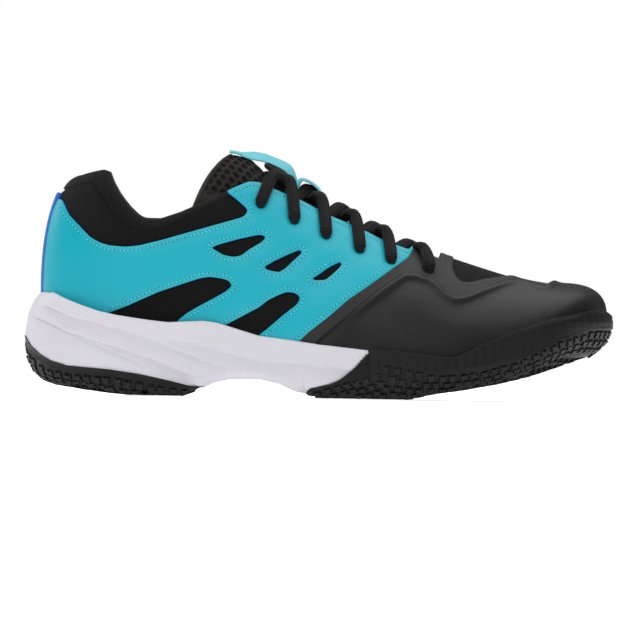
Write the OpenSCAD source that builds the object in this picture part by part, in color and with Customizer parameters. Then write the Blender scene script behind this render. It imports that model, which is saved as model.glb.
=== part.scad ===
// Court shoe for racket sports, right foot.
// +X points to the toe, +Y to the inner (medial) side, +Z up.
// The origin is on the ground, under the middle of the shoe's box.

/* [Overall size] */
// Length from the heel rubber to the toe rubber
shoe_length = 295; // [245:1:355]
// Width of the sole at the ball of the foot
ball_width = 110; // [91:1:132]
// Height of the tongue's top above the ground
shoe_height = 124; // [103:1:149]

/* [Upper layers] */
// Thickness of the outer overlays and films
overlay_t = 1.2; // [0.8:0.1:1.6]
// Thickness of the mesh that the upper is cut from
mesh_t = 1.4; // [1.0:0.1:2.0]
// Thickness of the heel counter, toe puff and eyestay backing
stiffener_t = 1.0; // [0.8:0.1:1.4]
// Thickness of the collar padding at its fullest
collar_foam_t = 6; // [4:0.5:7.5]
// Thickness of the collar padding where it runs out
collar_edge_t = 0.8; // [0.6:0.1:1.2]
// Thickness of the lining
lining_t = 1.1; // [0.8:0.1:1.4]
// Glue line between two layers
layer_gap = 0.1; // [0.1:0.05:0.2]
// Half width of the heel strip
heel_strip_half = 10; // [8:0.5:12]

/* [Tongue] */
// Depth of the tongue's face under the upper's outer surface, over the instep
tongue_depth = 8.3; // [7.4:0.1:10]
// The same depth at the tongue's free top
tongue_top_depth = 4.3; // [3.6:0.1:5.2]
// Thickness of the tongue's face fabric
tongue_face_t = 1.2; // [0.8:0.1:1.5]
// Thickness of the tongue's padding
tongue_foam_t = 4.5; // [3.5:0.1:5.5]
// Thickness of the tongue's lining
tongue_lining_t = 1.0; // [0.8:0.1:1.2]
// Half width of the throat between the eyestays
throat_half = 13.5; // [12:0.5:16]
// Air between the throat's edge and the tongue, on each side
throat_air = 3.5; // [2.5:0.5:4.5]
// Half width of the tongue's free top
tongue_top_half = 25; // [20.5:0.5:26]
// Width of the lace keeper's webbing
keeper_w = 12; // [10:0.5:14.5]
// Thickness of the lace keeper's webbing
keeper_t = 1.0; // [0.8:0.1:1.2]

/* [Lace] */
// Diameter of the lace, pressed round
lace_d = 4; // [3.3:0.1:4.8]
// Play of the lace in its punched hole, on the diameter
eyelet_play = 1.2; // [0.8:0.1:1.6]
// Air between the lace and what it crosses
lace_air = 0.3; // [0.2:0.1:0.6]
// Length of the lace's tip
aglet_length = 20; // [16:1:24]
// Wall of the lace's tip
aglet_wall = 0.3; // [0.2:0.1:0.4]

/* [Sole] */
// Thickness of the forefoot outsole
tread_t = 4.5; // [3.7:0.1:5.4]
// Wall of the forefoot outsole where it wraps up the side
wrap_t = 2.2; // [1.8:0.1:2.4]
// Glue line between the soles
sole_gap = 0.15; // [0.1:0.05:0.2]
// Thickness of the lasting board
board_t = 1.8; // [1.5:0.1:2.2]
// Thickness of the insole's foam
insole_t = 4; // [3.3:0.1:5]
// Thickness of the insole's top cloth
insole_cloth_t = 0.8; // [0.6:0.1:1.1]
// Air round the insole's edge, which lets its heel lift
insole_air = 1.5; // [1.2:0.1:2]
// Thickness of the shank plate
shank_t = 1.6; // [1.3:0.1:2]
// Thickness of the heel cushion
heel_cushion_t = 4.5; // [3.7:0.1:5]
// Thickness of the forefoot cushion
forefoot_cushion_t = 3.5; // [3:0.1:4]

/* [Hidden] */

// The outlines below are drawn for a shoe 295 long, 110 wide and 124 high.
kx = shoe_length / 295;
ky = ball_width / 110;
kz = shoe_height / 124;
LATERAL = -1;
MEDIAL = 1;

// The upper's outer surface hangs on ribs that run from the footbed's edge to the crest.
// x, lateral half width, medial half width, z of the footbed's edge,
// x, y, z of the crest, outward bulge, height of the wall's handle, length of the crest's handle
RIBS = [
    [-136,  0,  0, 25,   -92, 0, 126,  6, 0.62, 0.90],
    [-133, 12, 12, 25,   -91, 0, 126,  6, 0.62, 0.90],
    [-124, 22, 21, 24,   -89, 0, 126,  6, 0.62, 0.90],
    [-108, 29, 27, 23,   -85, 0, 127,  7, 0.62, 0.86],
    [ -84, 32, 29, 21,   -78, 0, 128,  6, 0.60, 0.80],
    [ -60, 33, 28, 20,   -60, 0, 128,  7, 0.58, 0.74],
    [ -38, 35, 28, 19,   -38, 0, 124,  8, 0.55, 0.62],
    [ -16, 39, 31, 18,   -16, 0, 113,  7, 0.52, 0.52],
    [   6, 44, 37, 17,     6, 0, 101,  5, 0.50, 0.46],
    [  30, 49, 44, 15,    30, 0,  88,  4, 0.48, 0.46],
    [  54, 51, 49, 15,    54, 0,  77,  3, 0.46, 0.46],
    [  78, 49, 50, 18,    78, 1,  69,  2, 0.45, 0.50],
    [ 100, 43, 47, 24,    99, 3,  63,  2, 0.48, 0.55],
    [ 120, 32, 38, 30,   112, 4, 60.5, 2, 0.55, 0.66],
    [ 134, 18, 26, 35,   117, 5,  60,  2, 0.60, 0.80],
    [ 142,  2, 12, 38,   120, 5,  60,  2, 0.60, 0.86],
    [ 143, -5,  5, 38.5, 122, 5,  60,  2, 0.60, 0.86]
];
last_rib = len(RIBS) - 1;
rib_steps = 28;
wall_steps = 9;

// Catmull-Rom curve through the rows of a table, t from 0 to the last row's number
function through(rows, t) =
    let (
        top = len(rows) - 1,
        i = min(floor(t), top - 1),
        f = t - i,
        a = rows[max(i - 1, 0)],
        b = rows[i],
        c = rows[i + 1],
        d = rows[min(i + 2, top)]
    )
    0.5 * (2 * b + (c - a) * f + (2 * a - 5 * b + 4 * c - d) * f * f
        + (3 * b - a - 3 * c + d) * f * f * f);

function unit(v) = v / max(norm(v), 1e-9);
function smooth_step(a, b, x) = let (t = max(0, min(1, (x - a) / (b - a)))) t * t * (3 - 2 * t);

// Point of the outer surface: u counts the ribs from the heel, v is 1 at the footbed and 0 at the crest
function skin_point(side, u, v) =
    let (
        r = through(RIBS, u),
        foot = [r[0] * kx, side * (side < 0 ? r[1] : r[2]) * ky, r[3] * kz],
        crest = [r[4] * kx, r[5] * ky, r[6] * kz],
        out = [foot[0] - crest[0], foot[1] - crest[1], 0],
        wall = foot + unit(out) * r[7] + [0, 0, r[8] * (crest[2] - foot[2])],
        roof = crest + out * r[9],
        t = 1 - v
    )
    v * v * v * foot + 3 * t * v * v * wall + 3 * t * t * v * roof + t * t * t * crest;

// Outward normal of that surface, upright on the crest and in the middle plane at both ends
function outward(side, u, v) =
    let (
        e = 0.01,
        along = skin_point(side, min(u + e, last_rib), v) - skin_point(side, max(u - e, 0), v),
        up = skin_point(side, u, max(v - e, 0)) - skin_point(side, u, min(v + e, 1)),
        n = unit(cross(up, along) * side),
        at_end = u < e || u > last_rib - e
    )
    v < e ? [0, 0, 1] : at_end ? unit([n[0], 0, n[2]]) : n;

// Point at a depth under the outer surface
function under(side, u, v, depth) = skin_point(side, u, v) - depth * outward(side, u, v);

// Closed solid inside the outer surface at a depth, drop lower and with its floor open_below lower still
function ring_side(k) = k <= rib_steps ? LATERAL : MEDIAL;
function ring_u(k) = last_rib * (k <= rib_steps ? k : 2 * rib_steps - k) / rib_steps;

module last_solid(depth, open_below = 0, drop = 0) {
    ring = 2 * rib_steps;
    rows = wall_steps + 1;
    points = [
        for (k = [0 : ring - 1])
            for (j = [-1 : wall_steps])
                let (v = 1 - max(j, 0) / wall_steps, s = ring_side(k), u = ring_u(k))
                under(s, u, v, depth(u, v)) - [0, 0, drop + (j < 0 ? open_below + 0.01 : 0)]
    ];
    stride = rows + 1;
    walls = [
        for (k = [0 : ring - 1])
            for (j = [0 : rows - 1])
                let (a = k * stride + j, b = (k + 1) % ring * stride + j)
                each [[a, b, b + 1], [a, b + 1, a + 1]]
    ];
    floor_faces = [
        for (k = [0 : rib_steps - 1])
            let (a = k, b = k + 1, c = (ring - k) % ring, d = ring - k - 1)
            each (k == 0
                ? [[a, d, b]]
                : k == rib_steps - 1 ? [[a, c, b]] : [[a, c, d], [a, d, b]])
    ] * stride;
    polyhedron(points, [for (f = concat(walls, floor_faces)) [f[2], f[1], f[0]]], convexity = 6);
}

// Shell between two depths under the outer surface
module shell(outer, inner) {
    difference() {
        last_solid(outer);
        last_solid(inner, 9);
    }
}

function even(depth) = function (u, v) depth;

// Depths of the layers
mesh_d = overlay_t + layer_gap;
stiffener_d = mesh_d + mesh_t + layer_gap;
foam_d = stiffener_d + stiffener_t + layer_gap;
// The padding is full round the ankle and runs out down the wall and under the eyestay
foam_in = function (u, v)
    foam_d + collar_edge_t
    + (collar_foam_t - collar_edge_t) * smooth_step(0.92, 0.66, v) * smooth_step(6.2, 5.0, u);
lining_out = function (u, v) foam_in(u, v) + layer_gap;
lining_in = function (u, v) foam_in(u, v) + layer_gap + lining_t;

// The tongue is pressed in over the instep and stands up at its free top
tongue_rise = tongue_depth - tongue_top_depth;
tongue_at = function (u, v) tongue_top_depth + tongue_rise * smooth_step(5.9, 6.6, u);
tongue_foam_d = tongue_face_t + layer_gap;
tongue_lining_d = tongue_foam_d + tongue_foam_t + layer_gap;

// A flat outline of the side view, made solid between two values of y
function side_points(points) = [for (p = points) [p[0] * kx, p[1] * kz]];
function plan_points(points) = [for (p = points) [p[0] * kx, p[1] * ky]];
far = 90 * ky;

module side_view(points, low = -far, high = far)
    translate([0, high, 0]) rotate([90, 0, 0]) linear_extrude(high - low) polygon(side_points(points));

module half_view(side, points, from = 0.1)
    side_view(points, side < 0 ? -far : from, side < 0 ? -from : far);

module plan_view(points)
    translate([0, 0, -20]) linear_extrude(220 * kz) polygon(plan_points(points));

// The freeform pieces are plain meshes: a null resize keeps each as one piece
module freeform() resize([0, 0, 0]) children();

// Edge of the collar, the eyestay's top and the throat, with all that lies over it
TOP_EDGE = [
    [-135, 100], [-129, 104.5], [-121, 110], [-113, 112], [-105, 111], [-101, 107], [-97, 101],
    [-93, 95], [-89, 90.5], [-85, 89], [-80, 89.5], [-73, 92], [-65, 96], [-57, 99.5], [-48, 103],
    [-44, 105], [-37, 108], [-32, 108], [-27, 106], [-10, 99], [-2, 95], [6, 91], [14, 88],
    [23, 84], [29, 81], [37, 78], [44, 76]
];
ABOVE_EDGE = concat(TOP_EDGE, [[50, 90], [50, 160], [-170, 160], [-170, 100]]);
tongue_half = throat_half - throat_air;
throat_start = -55;
throat_end = 59;

// Everything over the edge, and the throat's slot between the eyestays
module opening(lower = 0) {
    translate([0, 0, -lower]) side_view(ABOVE_EDGE);
    translate([throat_start * kx, -throat_half, 60 * kz])
        cube([(throat_end - throat_start) * kx, 2 * throat_half, 100 * kz]);
}

// Side outline of the overlay that runs from the heel to the eyestay
OVERLAY = [
    [-150, 20], [-150, 98], [-131, 98], [-127, 90], [-121, 84], [-116, 79], [-111, 76], [-106, 74.5],
    [-100, 74], [-91, 75], [-81, 78], [-61, 84], [-41, 90], [-38, 91], [-37, 94], [-42, 98],
    [-48, 103], [-44, 120], [60, 120], [44, 78], [45, 75], [44, 72], [36, 66], [24, 57], [14, 50],
    [4, 41], [-6, 33], [-10, 29], [-20, 15]
];
FINGER_REAR = [[-108, 38], [-106, 42], [-96, 45], [-81, 52], [-61, 59], [-56, 60], [-51, 59],
    [-46, 58], [-44, 56], [-47, 53], [-61, 45], [-71, 38], [-74, 30], [-100, 30]];
FINGER_FRONT = [[-52, 30], [-48, 36], [-31, 45], [-21, 51], [-18, 53], [-13, 52], [-10, 50],
    [-18, 42], [-27, 34], [-31, 30], [-36, 22], [-56, 22]];
WINDOW_REAR = [[-54, 74], [-51, 76], [-31, 81], [-28, 80], [-36, 74], [-40, 71], [-44, 70], [-49, 71]];
WINDOW_MIDDLE = [[-28, 65], [-16, 72], [-11, 74], [-10, 73], [-18, 65], [-21, 63], [-26, 64]];
WINDOW_FRONT = [[-4, 60], [4, 66], [9, 68], [10, 67.5], [4, 61], [2, 60]];

// Raised edge of the toe overlay, and the mesh left bare on the vamp
TOE_RIDGE = [
    [-1, 29], [9, 38], [19, 47], [29, 55], [37, 61], [42, 64], [47, 64], [55, 61], [59, 59],
    [63, 54], [66, 52], [71, 53], [79, 56], [89, 60], [96, 62], [101, 62], [106, 59], [116, 59]
];
VAMP_WINDOW = [[62, 90], [64, 67], [67, 61], [70, 60], [75, 60], [81, 62], [89, 63], [97, 64], [99, 90]];
// Line where the quarters' mesh meets the vamp's mesh
VAMP_SEAM = [[8, 5], [62, 85]];

// Eyelets: rib number and place on the rib, from the top pair to the pair at the toe
EYELETS = [[6.33, 0.44], [7.10, 0.44], [7.83, 0.44], [8.55, 0.43], [9.20, 0.41], [10.0, 0.36]];
eyelet_d = lace_d + eyelet_play;

// Turns +Z to a direction
module aim(at, direction) {
    d = unit(direction);
    translate(at) rotate([0, acos(d[2]), atan2(d[1], d[0])]) children();
}

module eyelet_holes() {
    reach = 16;
    for (side = [LATERAL, MEDIAL])
        for (e = EYELETS)
            aim(skin_point(side, e[0], e[1]), outward(side, e[0], e[1]))
                cylinder(h = reach, d = eyelet_d, center = true, $fn = 12);
}

// ---------- sole ----------

// Outline of the sole in plan, heel first, lateral side then medial side
SOLE_PLAN = [
    [-147.5, 0], [-145, -15], [-136, -28], [-120, -37], [-98, -40], [-70, -40.5], [-40, -41],
    [-15, -44], [8, -49], [30, -53], [52, -55], [72, -54.4], [92, -50.5], [110, -43.5], [125, -33.5],
    [137, -20.5], [145, -6], [147.5, 6], [146, 15], [140, 27], [128, 39], [112, 48.5], [95, 53.5],
    [76, 55], [54, 53], [30, 47.5], [8, 41], [-15, 36], [-40, 34.5], [-70, 35.5], [-98, 36.5],
    [-120, 34], [-136, 25], [-145, 13]
];
plan_steps = 2;

// Closed curve through the outline's points
function closed_curve(points, steps) =
    let (n = len(points), ring = [for (i = [-1 : n + 1]) points[(i + n) % n]])
    [for (i = [0 : n * steps - 1]) through(ring, 1 + i / steps)];
sole_outline = plan_points(closed_curve(SOLE_PLAN, plan_steps));

module sole_block(inset = 0)
    translate([0, 0, -1]) linear_extrude(90 * kz) offset(delta = -inset) polygon(sole_outline);

// Side view: the ground line of the forefoot rubber and its top edge
FOREFOOT_GROUND = [
    [-8, 0.6], [-4, 0], [45, 0], [56, 2.6], [72, 5], [88, 8], [104, 12], [120, 17.3], [136, 23],
    [144, 30], [148, 38]
];
FOREFOOT_TOP = [
    [148, 43], [145, 47], [139, 46.5], [129, 44], [119, 42], [109, 39], [99, 36], [89, 32],
    [80, 28.5], [75, 25.5], [70, 23], [65, 22], [55, 23], [45, 24], [35, 25], [26, 25.5], [17, 15],
    [10, 9.5], [5, 7.2], [-5, 5], [-8, 2.6]
];
HEEL_GROUND = [
    [-148, 29.5], [-147, 17], [-144, 12], [-141, 9], [-138, 7], [-130, 4], [-118, 2.2], [-106, 0.8],
    [-95, 0], [-68, 0], [-62, 2], [-57, 5]
];
HEEL_TOP = [
    [-57, 5], [-65, 5.6], [-75, 8], [-90, 11], [-105, 13], [-127, 14.5], [-135, 17], [-140, 20],
    [-144, 24], [-148, 30]
];
ARCH = [[-57, 5], [-52, 7.3], [-45, 9], [-30, 9.2], [-20, 7], [-12, 3.3], [-8, 2.6]];
MIDSOLE_RIM = [
    [24, 24], [20, 25], [0, 27], [-15, 29], [-31, 31], [-41, 34], [-51, 37], [-58, 38], [-76, 37],
    [-86, 38], [-101, 40], [-111, 42], [-131, 48], [-141, 51], [-144, 47], [-146, 40], [-148, 32]
];
FLEX_FRONT = [[-8, 2.6], [-5, 5], [5, 7.2], [10, 9.5], [17, 15]];

module forefoot_rubber_region() side_view(concat(FOREFOOT_GROUND, FOREFOOT_TOP));

module outsole_forefoot()
    color([0.06, 0.06, 0.07])
    difference() {
        intersection() {
            sole_block();
            forefoot_rubber_region();
        }
        intersection() {
            sole_block(wrap_t);
            translate([0, 0, tread_t]) side_view(concat(FOREFOOT_GROUND, [[160, 38], [160, 80], [-20, 80]]));
        }
    }

module outsole_heel()
    color([0.06, 0.06, 0.07])
    intersection() {
        sole_block();
        side_view(concat(HEEL_GROUND, HEEL_TOP));
    }

// The arch plate and the two cushions are let into the midsole
heel_cushion_top = 20.9 * kz;
forefoot_cushion_top = 14.7 * kz;

module pad(from, to, half, top, t, grow, open_above) {
    r = 8;
    translate([0, 0, top - t - grow]) linear_extrude(t + grow + open_above)
        offset(r = grow)
        translate([from * kx, -half * ky]) offset(r = r) offset(delta = -r) square([(to - from) * kx, 2 * half * ky]);
}

module heel_cushion(grow = 0, open_above = 0)
    color([0.2, 0.5, 0.9]) pad(-124, -88, 20, heel_cushion_top, heel_cushion_t, grow, open_above);
module forefoot_cushion(grow = 0, open_above = 0)
    color([0.2, 0.5, 0.9]) pad(18, 58, 30, forefoot_cushion_top, forefoot_cushion_t, grow, open_above);

// The shank plate lies in a recess of the footbed, right under the lasting board
shank_inset = 11;
module shank_plate(grow = 0, open_above = 0)
    color([0.3, 0.32, 0.35])
    freeform() intersection() {
        bed_slab(shank_inset - grow, -shank_t - sole_gap - grow, open_above - sole_gap);
        side_view([[-78 - grow, 0], [-78 - grow, 60], [-2 + grow, 60], [-2 + grow, 0]]);
    }

module midsole()
    color([0.93, 0.92, 0.94])
    freeform() difference() {
        union() {
            intersection() {
                sole_block();
                translate([0, 0, sole_gap])
                    side_view(concat(MIDSOLE_RIM, [for (i = [len(HEEL_TOP) - 1 : -1 : 1]) HEEL_TOP[i]], ARCH,
                        [for (i = [1 : 4]) FLEX_FRONT[i]]));
            }
            intersection() {
                sole_block(wrap_t + sole_gap);
                translate([0, 0, tread_t + sole_gap])
                    side_view([[-4, 0.5], [45, 0], [56, 2.6], [72, 5], [88, 8], [104, 12], [120, 17.3],
                        [136, 23], [144, 30], [144, 36], [110, 26], [70, 17], [10, 20], [-4, 20]]);
            }
        }
        last_solid(even(-sole_gap));
        shank_plate(sole_gap, 9);
        heel_cushion(sole_gap, 9);
        forefoot_cushion(sole_gap, 9);
    }

// Slab over the footbed: inset from the upper's outer surface, between two heights
bed_inset = foam_d + collar_edge_t + layer_gap + lining_t + 0.3;

module bed_slab(inset, low, high) {
    n = rib_steps;
    rows = [
        for (i = [1 : n - 1])
            let (
                u = last_rib * i / n,
                l = under(LATERAL, u, 1, inset),
                m = under(MEDIAL, u, 1, inset),
                z = skin_point(LATERAL, u, 1)[2]
            )
            [[l[0], l[1], z + low], [l[0], l[1], z + high], [m[0], m[1], z + high], [m[0], m[1], z + low]]
    ];
    k = len(rows);
    polyhedron(
        [for (r = rows) each r],
        concat(
            [[3, 2, 1, 0]],
            [for (i = [0 : k - 2]) for (j = [0 : 3])
                [4 * i + j, 4 * i + (j + 1) % 4, 4 * i + 4 + (j + 1) % 4, 4 * i + 4 + j]],
            [[for (j = [0 : 3]) 4 * (k - 1) + j]]
        ),
        convexity = 4
    );
}

board_top = 0.1 + board_t;
insole_low = board_top + layer_gap;
insole_high = insole_low + insole_t;
cloth_low = insole_high + layer_gap;
cloth_high = cloth_low + insole_cloth_t;

module lasting_board() color([0.85, 0.82, 0.7]) bed_slab(bed_inset, 0.1, board_top);
module insole() color([0.15, 0.16, 0.2]) bed_slab(bed_inset + insole_air, insole_low, insole_high);
module insole_cloth() color([0.2, 0.22, 0.25]) bed_slab(bed_inset + insole_air, cloth_low, cloth_high);

// ---------- upper ----------

function behind_seam() = [[-170, -20], [-170, 160], [113, 160], VAMP_SEAM[1], VAMP_SEAM[0], [-9, -20]];
function ahead_of_seam() =
    [[-8.4, -20], VAMP_SEAM[0] + [0.5, 0], VAMP_SEAM[1] + [0.5, 0], [113.5, 160], [170, 160], [170, -20]];

module quarter_mesh(side)
    color([0.1, 0.1, 0.11])
    freeform() difference() {
        intersection() {
            shell(even(mesh_d), even(mesh_d + mesh_t));
            half_view(side, behind_seam());
        }
        opening();
        eyelet_holes();
    }
module quarter_mesh_lateral() quarter_mesh(LATERAL);
module quarter_mesh_medial() quarter_mesh(MEDIAL);

module vamp_mesh()
    color([0.1, 0.1, 0.11])
    freeform() difference() {
        intersection() {
            shell(even(mesh_d), even(mesh_d + mesh_t));
            side_view(ahead_of_seam());
        }
        opening();
        eyelet_holes();
    }

module quarter_overlay(side)
    color([0.0, 0.66, 0.78])
    freeform() difference() {
        intersection() {
            shell(even(0), even(overlay_t));
            half_view(side, OVERLAY);
        }
        opening(0.6);
        heel_band(heel_strip_half + 0.3);
        for (w = [FINGER_REAR, FINGER_FRONT, WINDOW_REAR, WINDOW_MIDDLE, WINDOW_FRONT]) side_view(w);
        eyelet_holes();
    }
module quarter_overlay_lateral() quarter_overlay(LATERAL);
module quarter_overlay_medial() quarter_overlay(MEDIAL);

module heel_band(half) translate([-170 * kx, -half, 0]) cube([60 * kx, 2 * half, 160 * kz]);

module heel_strip()
    color([0.0, 0.38, 0.8])
    freeform() difference() {
        intersection() {
            shell(even(0), even(overlay_t));
            heel_band(heel_strip_half);
            side_view([[-170, 0], [-170, 101], [-120, 101], [-120, 0]]);
        }
        opening(0.6);
    }

module toe_overlay()
    color([0.2, 0.2, 0.21])
    freeform() intersection() {
        shell(even(0), even(overlay_t));
        side_view(concat(TOE_RIDGE, [[124, 90], [170, 90], [170, 0], [-13.2, 0], [-13.2, 15]]));
    }

ridge_gap = 0.4;
module vamp_film()
    color([0.27, 0.27, 0.28])
    freeform() difference() {
        intersection() {
            shell(even(0), even(overlay_t));
            side_view(concat(
                [for (p = TOE_RIDGE) p + [-0.6 * ridge_gap, ridge_gap]],
                [[121, 90], [60, 90], [44.5, 78], [46, 75], [44.5, 71], [36.5, 65], [24.5, 56],
                    [14.5, 49], [4.5, 40], [-5.5, 32], [-9.4, 28.4], [-18.6, 15], [-14.2, 15]]
            ));
        }
        side_view(VAMP_WINDOW);
        opening(0.6);
        eyelet_holes();
    }

module toe_puff()
    color([0.8, 0.78, 0.7])
    freeform() intersection() {
        shell(even(stiffener_d), even(stiffener_d + stiffener_t));
        side_view([[108, 0], [104, 40], [109, 90], [170, 90], [170, 0]]);
    }

module heel_counter()
    color([0.82, 0.8, 0.72])
    freeform() intersection() {
        shell(even(stiffener_d), even(stiffener_d + stiffener_t));
        side_view([[-170, 0], [-170, 84], [-132, 84], [-115, 72], [-95, 60], [-78, 48], [-72, 0]]);
    }

module eyestay_backing(side)
    color([0.12, 0.12, 0.13])
    freeform() difference() {
        intersection() {
            shell(even(stiffener_d), even(stiffener_d + stiffener_t));
            half_view(side, [[-44, 98], [-44, 130], [60, 130], [60, 60], [50, 59], [36, 62], [18, 68],
                [2, 75], [-14, 82], [-31, 89]]);
        }
        opening();
        eyelet_holes();
    }
module eyestay_backing_lateral() eyestay_backing(LATERAL);
module eyestay_backing_medial() eyestay_backing(MEDIAL);

COLLAR_PART = [[-170, 0], [-170, 130], [-48, 130], [-48, 96], [-52, 88], [-28, 60], [-15, 0]];

module collar_foam()
    color([0.9, 0.88, 0.8])
    freeform() difference() {
        intersection() {
            shell(even(foam_d), foam_in);
            side_view(COLLAR_PART);
        }
        opening(1.5);
    }

module collar_lining()
    color([0.08, 0.08, 0.09])
    freeform() difference() {
        intersection() {
            shell(lining_out, lining_in);
            side_view(COLLAR_PART);
        }
        opening(0.4);
    }

module vamp_lining()
    color([0.12, 0.12, 0.13])
    freeform() difference() {
        intersection() {
            shell(even(foam_d), even(foam_d + lining_t));
            side_view([[-14, 0], [-27, 56], [58, 56], [68, 64], [70, 90], [170, 90], [170, 0]]);
        }
        opening();
    }

// ---------- tongue ----------

module tongue_layer(drop, t)
    freeform() intersection() {
        difference() {
            last_solid(tongue_at, 0, drop);
            last_solid(tongue_at, 9, drop + t);
        }
        side_view([[throat_end - 1, 55], [throat_end - 1, 90], [-30, 140], [-46, 132], [-49, 122], [-64, 98.5],
            [-50, 105], [-47, 105], [-30, 80], [0, 60]]);
        linear_extrude(200 * kz) polygon([
            [(throat_end - 1) * kx, -tongue_half + 1], [-47 * kx, -tongue_half], [-51 * kx, -tongue_top_half],
            [-70 * kx, -tongue_top_half], [-70 * kx, tongue_top_half], [-51 * kx, tongue_top_half],
            [-47 * kx, tongue_half], [(throat_end - 1) * kx, tongue_half - 1]
        ]);
    }

module tongue_face() color([0.13, 0.11, 0.1]) tongue_layer(0, tongue_face_t);
module tongue_foam() color([0.9, 0.88, 0.8]) tongue_layer(tongue_foam_d, tongue_foam_t);
module tongue_lining() color([0.1, 0.1, 0.11]) tongue_layer(tongue_lining_d, tongue_lining_t);

// ---------- lace ----------

// Tube of n sides along a list of points, from start to end
function frame_at(path, i, before) =
    let (
        t = unit(path[min(i + 1, len(path) - 1)] - path[max(i - 1, 0)]),
        side = unit(before - t * (before * t))
    )
    [t, side];
function frames(path, i, before) =
    i >= len(path) ? [] : let (f = frame_at(path, i, before)) concat([f], frames(path, i + 1, f[1]));

module tube(path, r, n) {
    turn = frames(path, 0, [0.31, 0.57, 0.76]);
    k = len(path);
    points = [
        for (i = [0 : k - 1])
            for (j = [0 : n - 1])
                path[i] + r * (turn[i][1] * cos(360 * j / n) + cross(turn[i][0], turn[i][1]) * sin(360 * j / n))
    ];
    polyhedron(points, concat(
        [[for (j = [0 : n - 1]) j]],
        [for (i = [0 : k - 2]) for (j = [0 : n - 1])
            [i * n + j, (i + 1) * n + j, (i + 1) * n + (j + 1) % n, i * n + (j + 1) % n]],
        [[for (j = [n - 1 : -1 : 0]) (k - 1) * n + j]]
    ), convexity = 10);
}

function open_curve(points, steps) =
    [for (i = [0 : (len(points) - 1) * steps]) through(points, i / steps)];

lace_r = lace_d / 2;
over_d = -(lace_r + 2 * lace_air);
below_d = stiffener_d + stiffener_t + lace_r + lace_air;
cross_lift = 0.9;
low_cross = tongue_depth - lace_r - lace_air - cross_lift;
high_cross = low_cross - lace_d - lace_air;
// Point at a depth and a distance from the middle plane, found by halving
function at_y(side, u, y, depth, low = 0, high = 0.7, turns = 12) =
    let (v = (low + high) / 2, p = under(side, u, v, depth))
    turns == 0 ? p
        : abs(p[1]) < y
            ? at_y(side, u, y, depth, v, high, turns - 1)
            : at_y(side, u, y, depth, low, v, turns - 1);
// Between the edge of the eyestay above and the edge of the tongue below
between_y = (throat_half + tongue_half) / 2;
between_d = (stiffener_d + stiffener_t + tongue_depth) / 2;

// The lace runs over the eyestay from an eyelet to the throat's edge
function over_eyestay(side, u, v, toward) = [
    under(side, u, v, below_d),
    under(side, u, v, 1.5),
    under(side, u - 0.02 * toward, v - 0.02, over_d),
    at_y(side, u - 0.06 * toward, throat_half + 4, over_d),
    at_y(side, u - 0.10 * toward, throat_half, over_d)
];
// Or it dives under the eyestay's edge
function under_eyestay(side, u, mid) = [
    at_y(side, mid + 0.4 * (u - mid), tongue_half - 2.5, low_cross),
    at_y(side, mid + 0.7 * (u - mid), between_y, between_d),
    at_y(side, u + 0.06, throat_half + 1.5, below_d + 0.6)
];

// The lace comes out of an eyelet, crosses the tongue and dives under the other eyestay
function diagonal(side, k, cross_d) =
    let (
        e = EYELETS[k],
        f = EYELETS[k - 1],
        mid = (e[0] + f[0]) / 2,
        to_top = k == 1
    )
    concat(
        over_eyestay(side, e[0], e[1], 1),
        [at_y(side, mid + 0.2 * (e[0] - f[0]), 5.5, cross_d - 0.6), under(side, mid, 0, cross_d)],
        to_top
            ? concat(
                [at_y(-side, mid - 0.2 * (e[0] - f[0]), 5.5, cross_d - 0.6)],
                reversed(over_eyestay(-side, f[0], f[1], -1)))
            : under_eyestay(-side, f[0], mid)
    );

// From the top eyelet of one side down to its partner in the toe's pair
function lace_half(side) = [for (k = [5 : -1 : 1])
    let (s = k % 2 == 1 ? side : -side)
    each diagonal(s, k, s < 0 ? low_cross : high_cross)];
function reversed(list) = [for (i = [len(list) - 1 : -1 : 0]) list[i]];
toe_pair_u = EYELETS[5][0];
lace_route = concat(
    reversed(lace_half(LATERAL)),
    reversed(under_eyestay(LATERAL, toe_pair_u, toe_pair_u)),
    [under(LATERAL, toe_pair_u, 0, low_cross - 1)],
    under_eyestay(MEDIAL, toe_pair_u, toe_pair_u),
    lace_half(MEDIAL)
);

module lace() color([0.07, 0.07, 0.08]) tube(open_curve(lace_route, 2), lace_r, 6);

// The two ends go in at the top eyelets and lie in the shoe
LATERAL_END = [[-31, -21, 82], [-32, -22, 70], [-34, -22, 56], [-38, -22, 44], [-46, -21, 35],
    [-57, -18, 31], [-70, -14, 31], [-84, -9, 32], [-97, -2, 33]];
MEDIAL_END = [[-30, 19, 82], [-29, 20, 70], [-27, 21, 56], [-23, 22, 43], [-14, 23, 33],
    [-2, 24, 28.5], [12, 25, 26.5], [26, 26, 25.5], [40, 27, 25.5]];
end_gap = 1.2;

module lace_end(side, points) {
    e = EYELETS[0];
    route = concat(
        [under(side, e[0], e[1], below_d + end_gap), under(side, e[0], e[1] + 0.01, below_d + 2.2)],
        [for (p = points) [p[0] * kx, p[1] * ky, p[2] * kz]]
    );
    tube(open_curve(route, 2), lace_r, 8);
}
module lace_end_lateral() color([0.07, 0.07, 0.08]) lace_end(LATERAL, LATERAL_END);
module lace_end_medial() color([0.07, 0.07, 0.08]) lace_end(MEDIAL, MEDIAL_END);

// The tips start where the lace ends and carry on in its direction
module aglet(points) {
    k = len(points) - 1;
    scaled = [for (p = points) [p[0] * kx, p[1] * ky, p[2] * kz]];
    way = unit(scaled[k] - scaled[k - 1]);
    aim(scaled[k] + way * 0.2, [way[0], way[1], 0])
        cylinder(h = aglet_length, r = lace_r / 2 + aglet_wall, $fn = 24);
}
module aglet_lateral() color([0.15, 0.15, 0.16]) aglet(LATERAL_END);
module aglet_medial() color([0.15, 0.15, 0.16]) aglet(MEDIAL_END);

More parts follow.
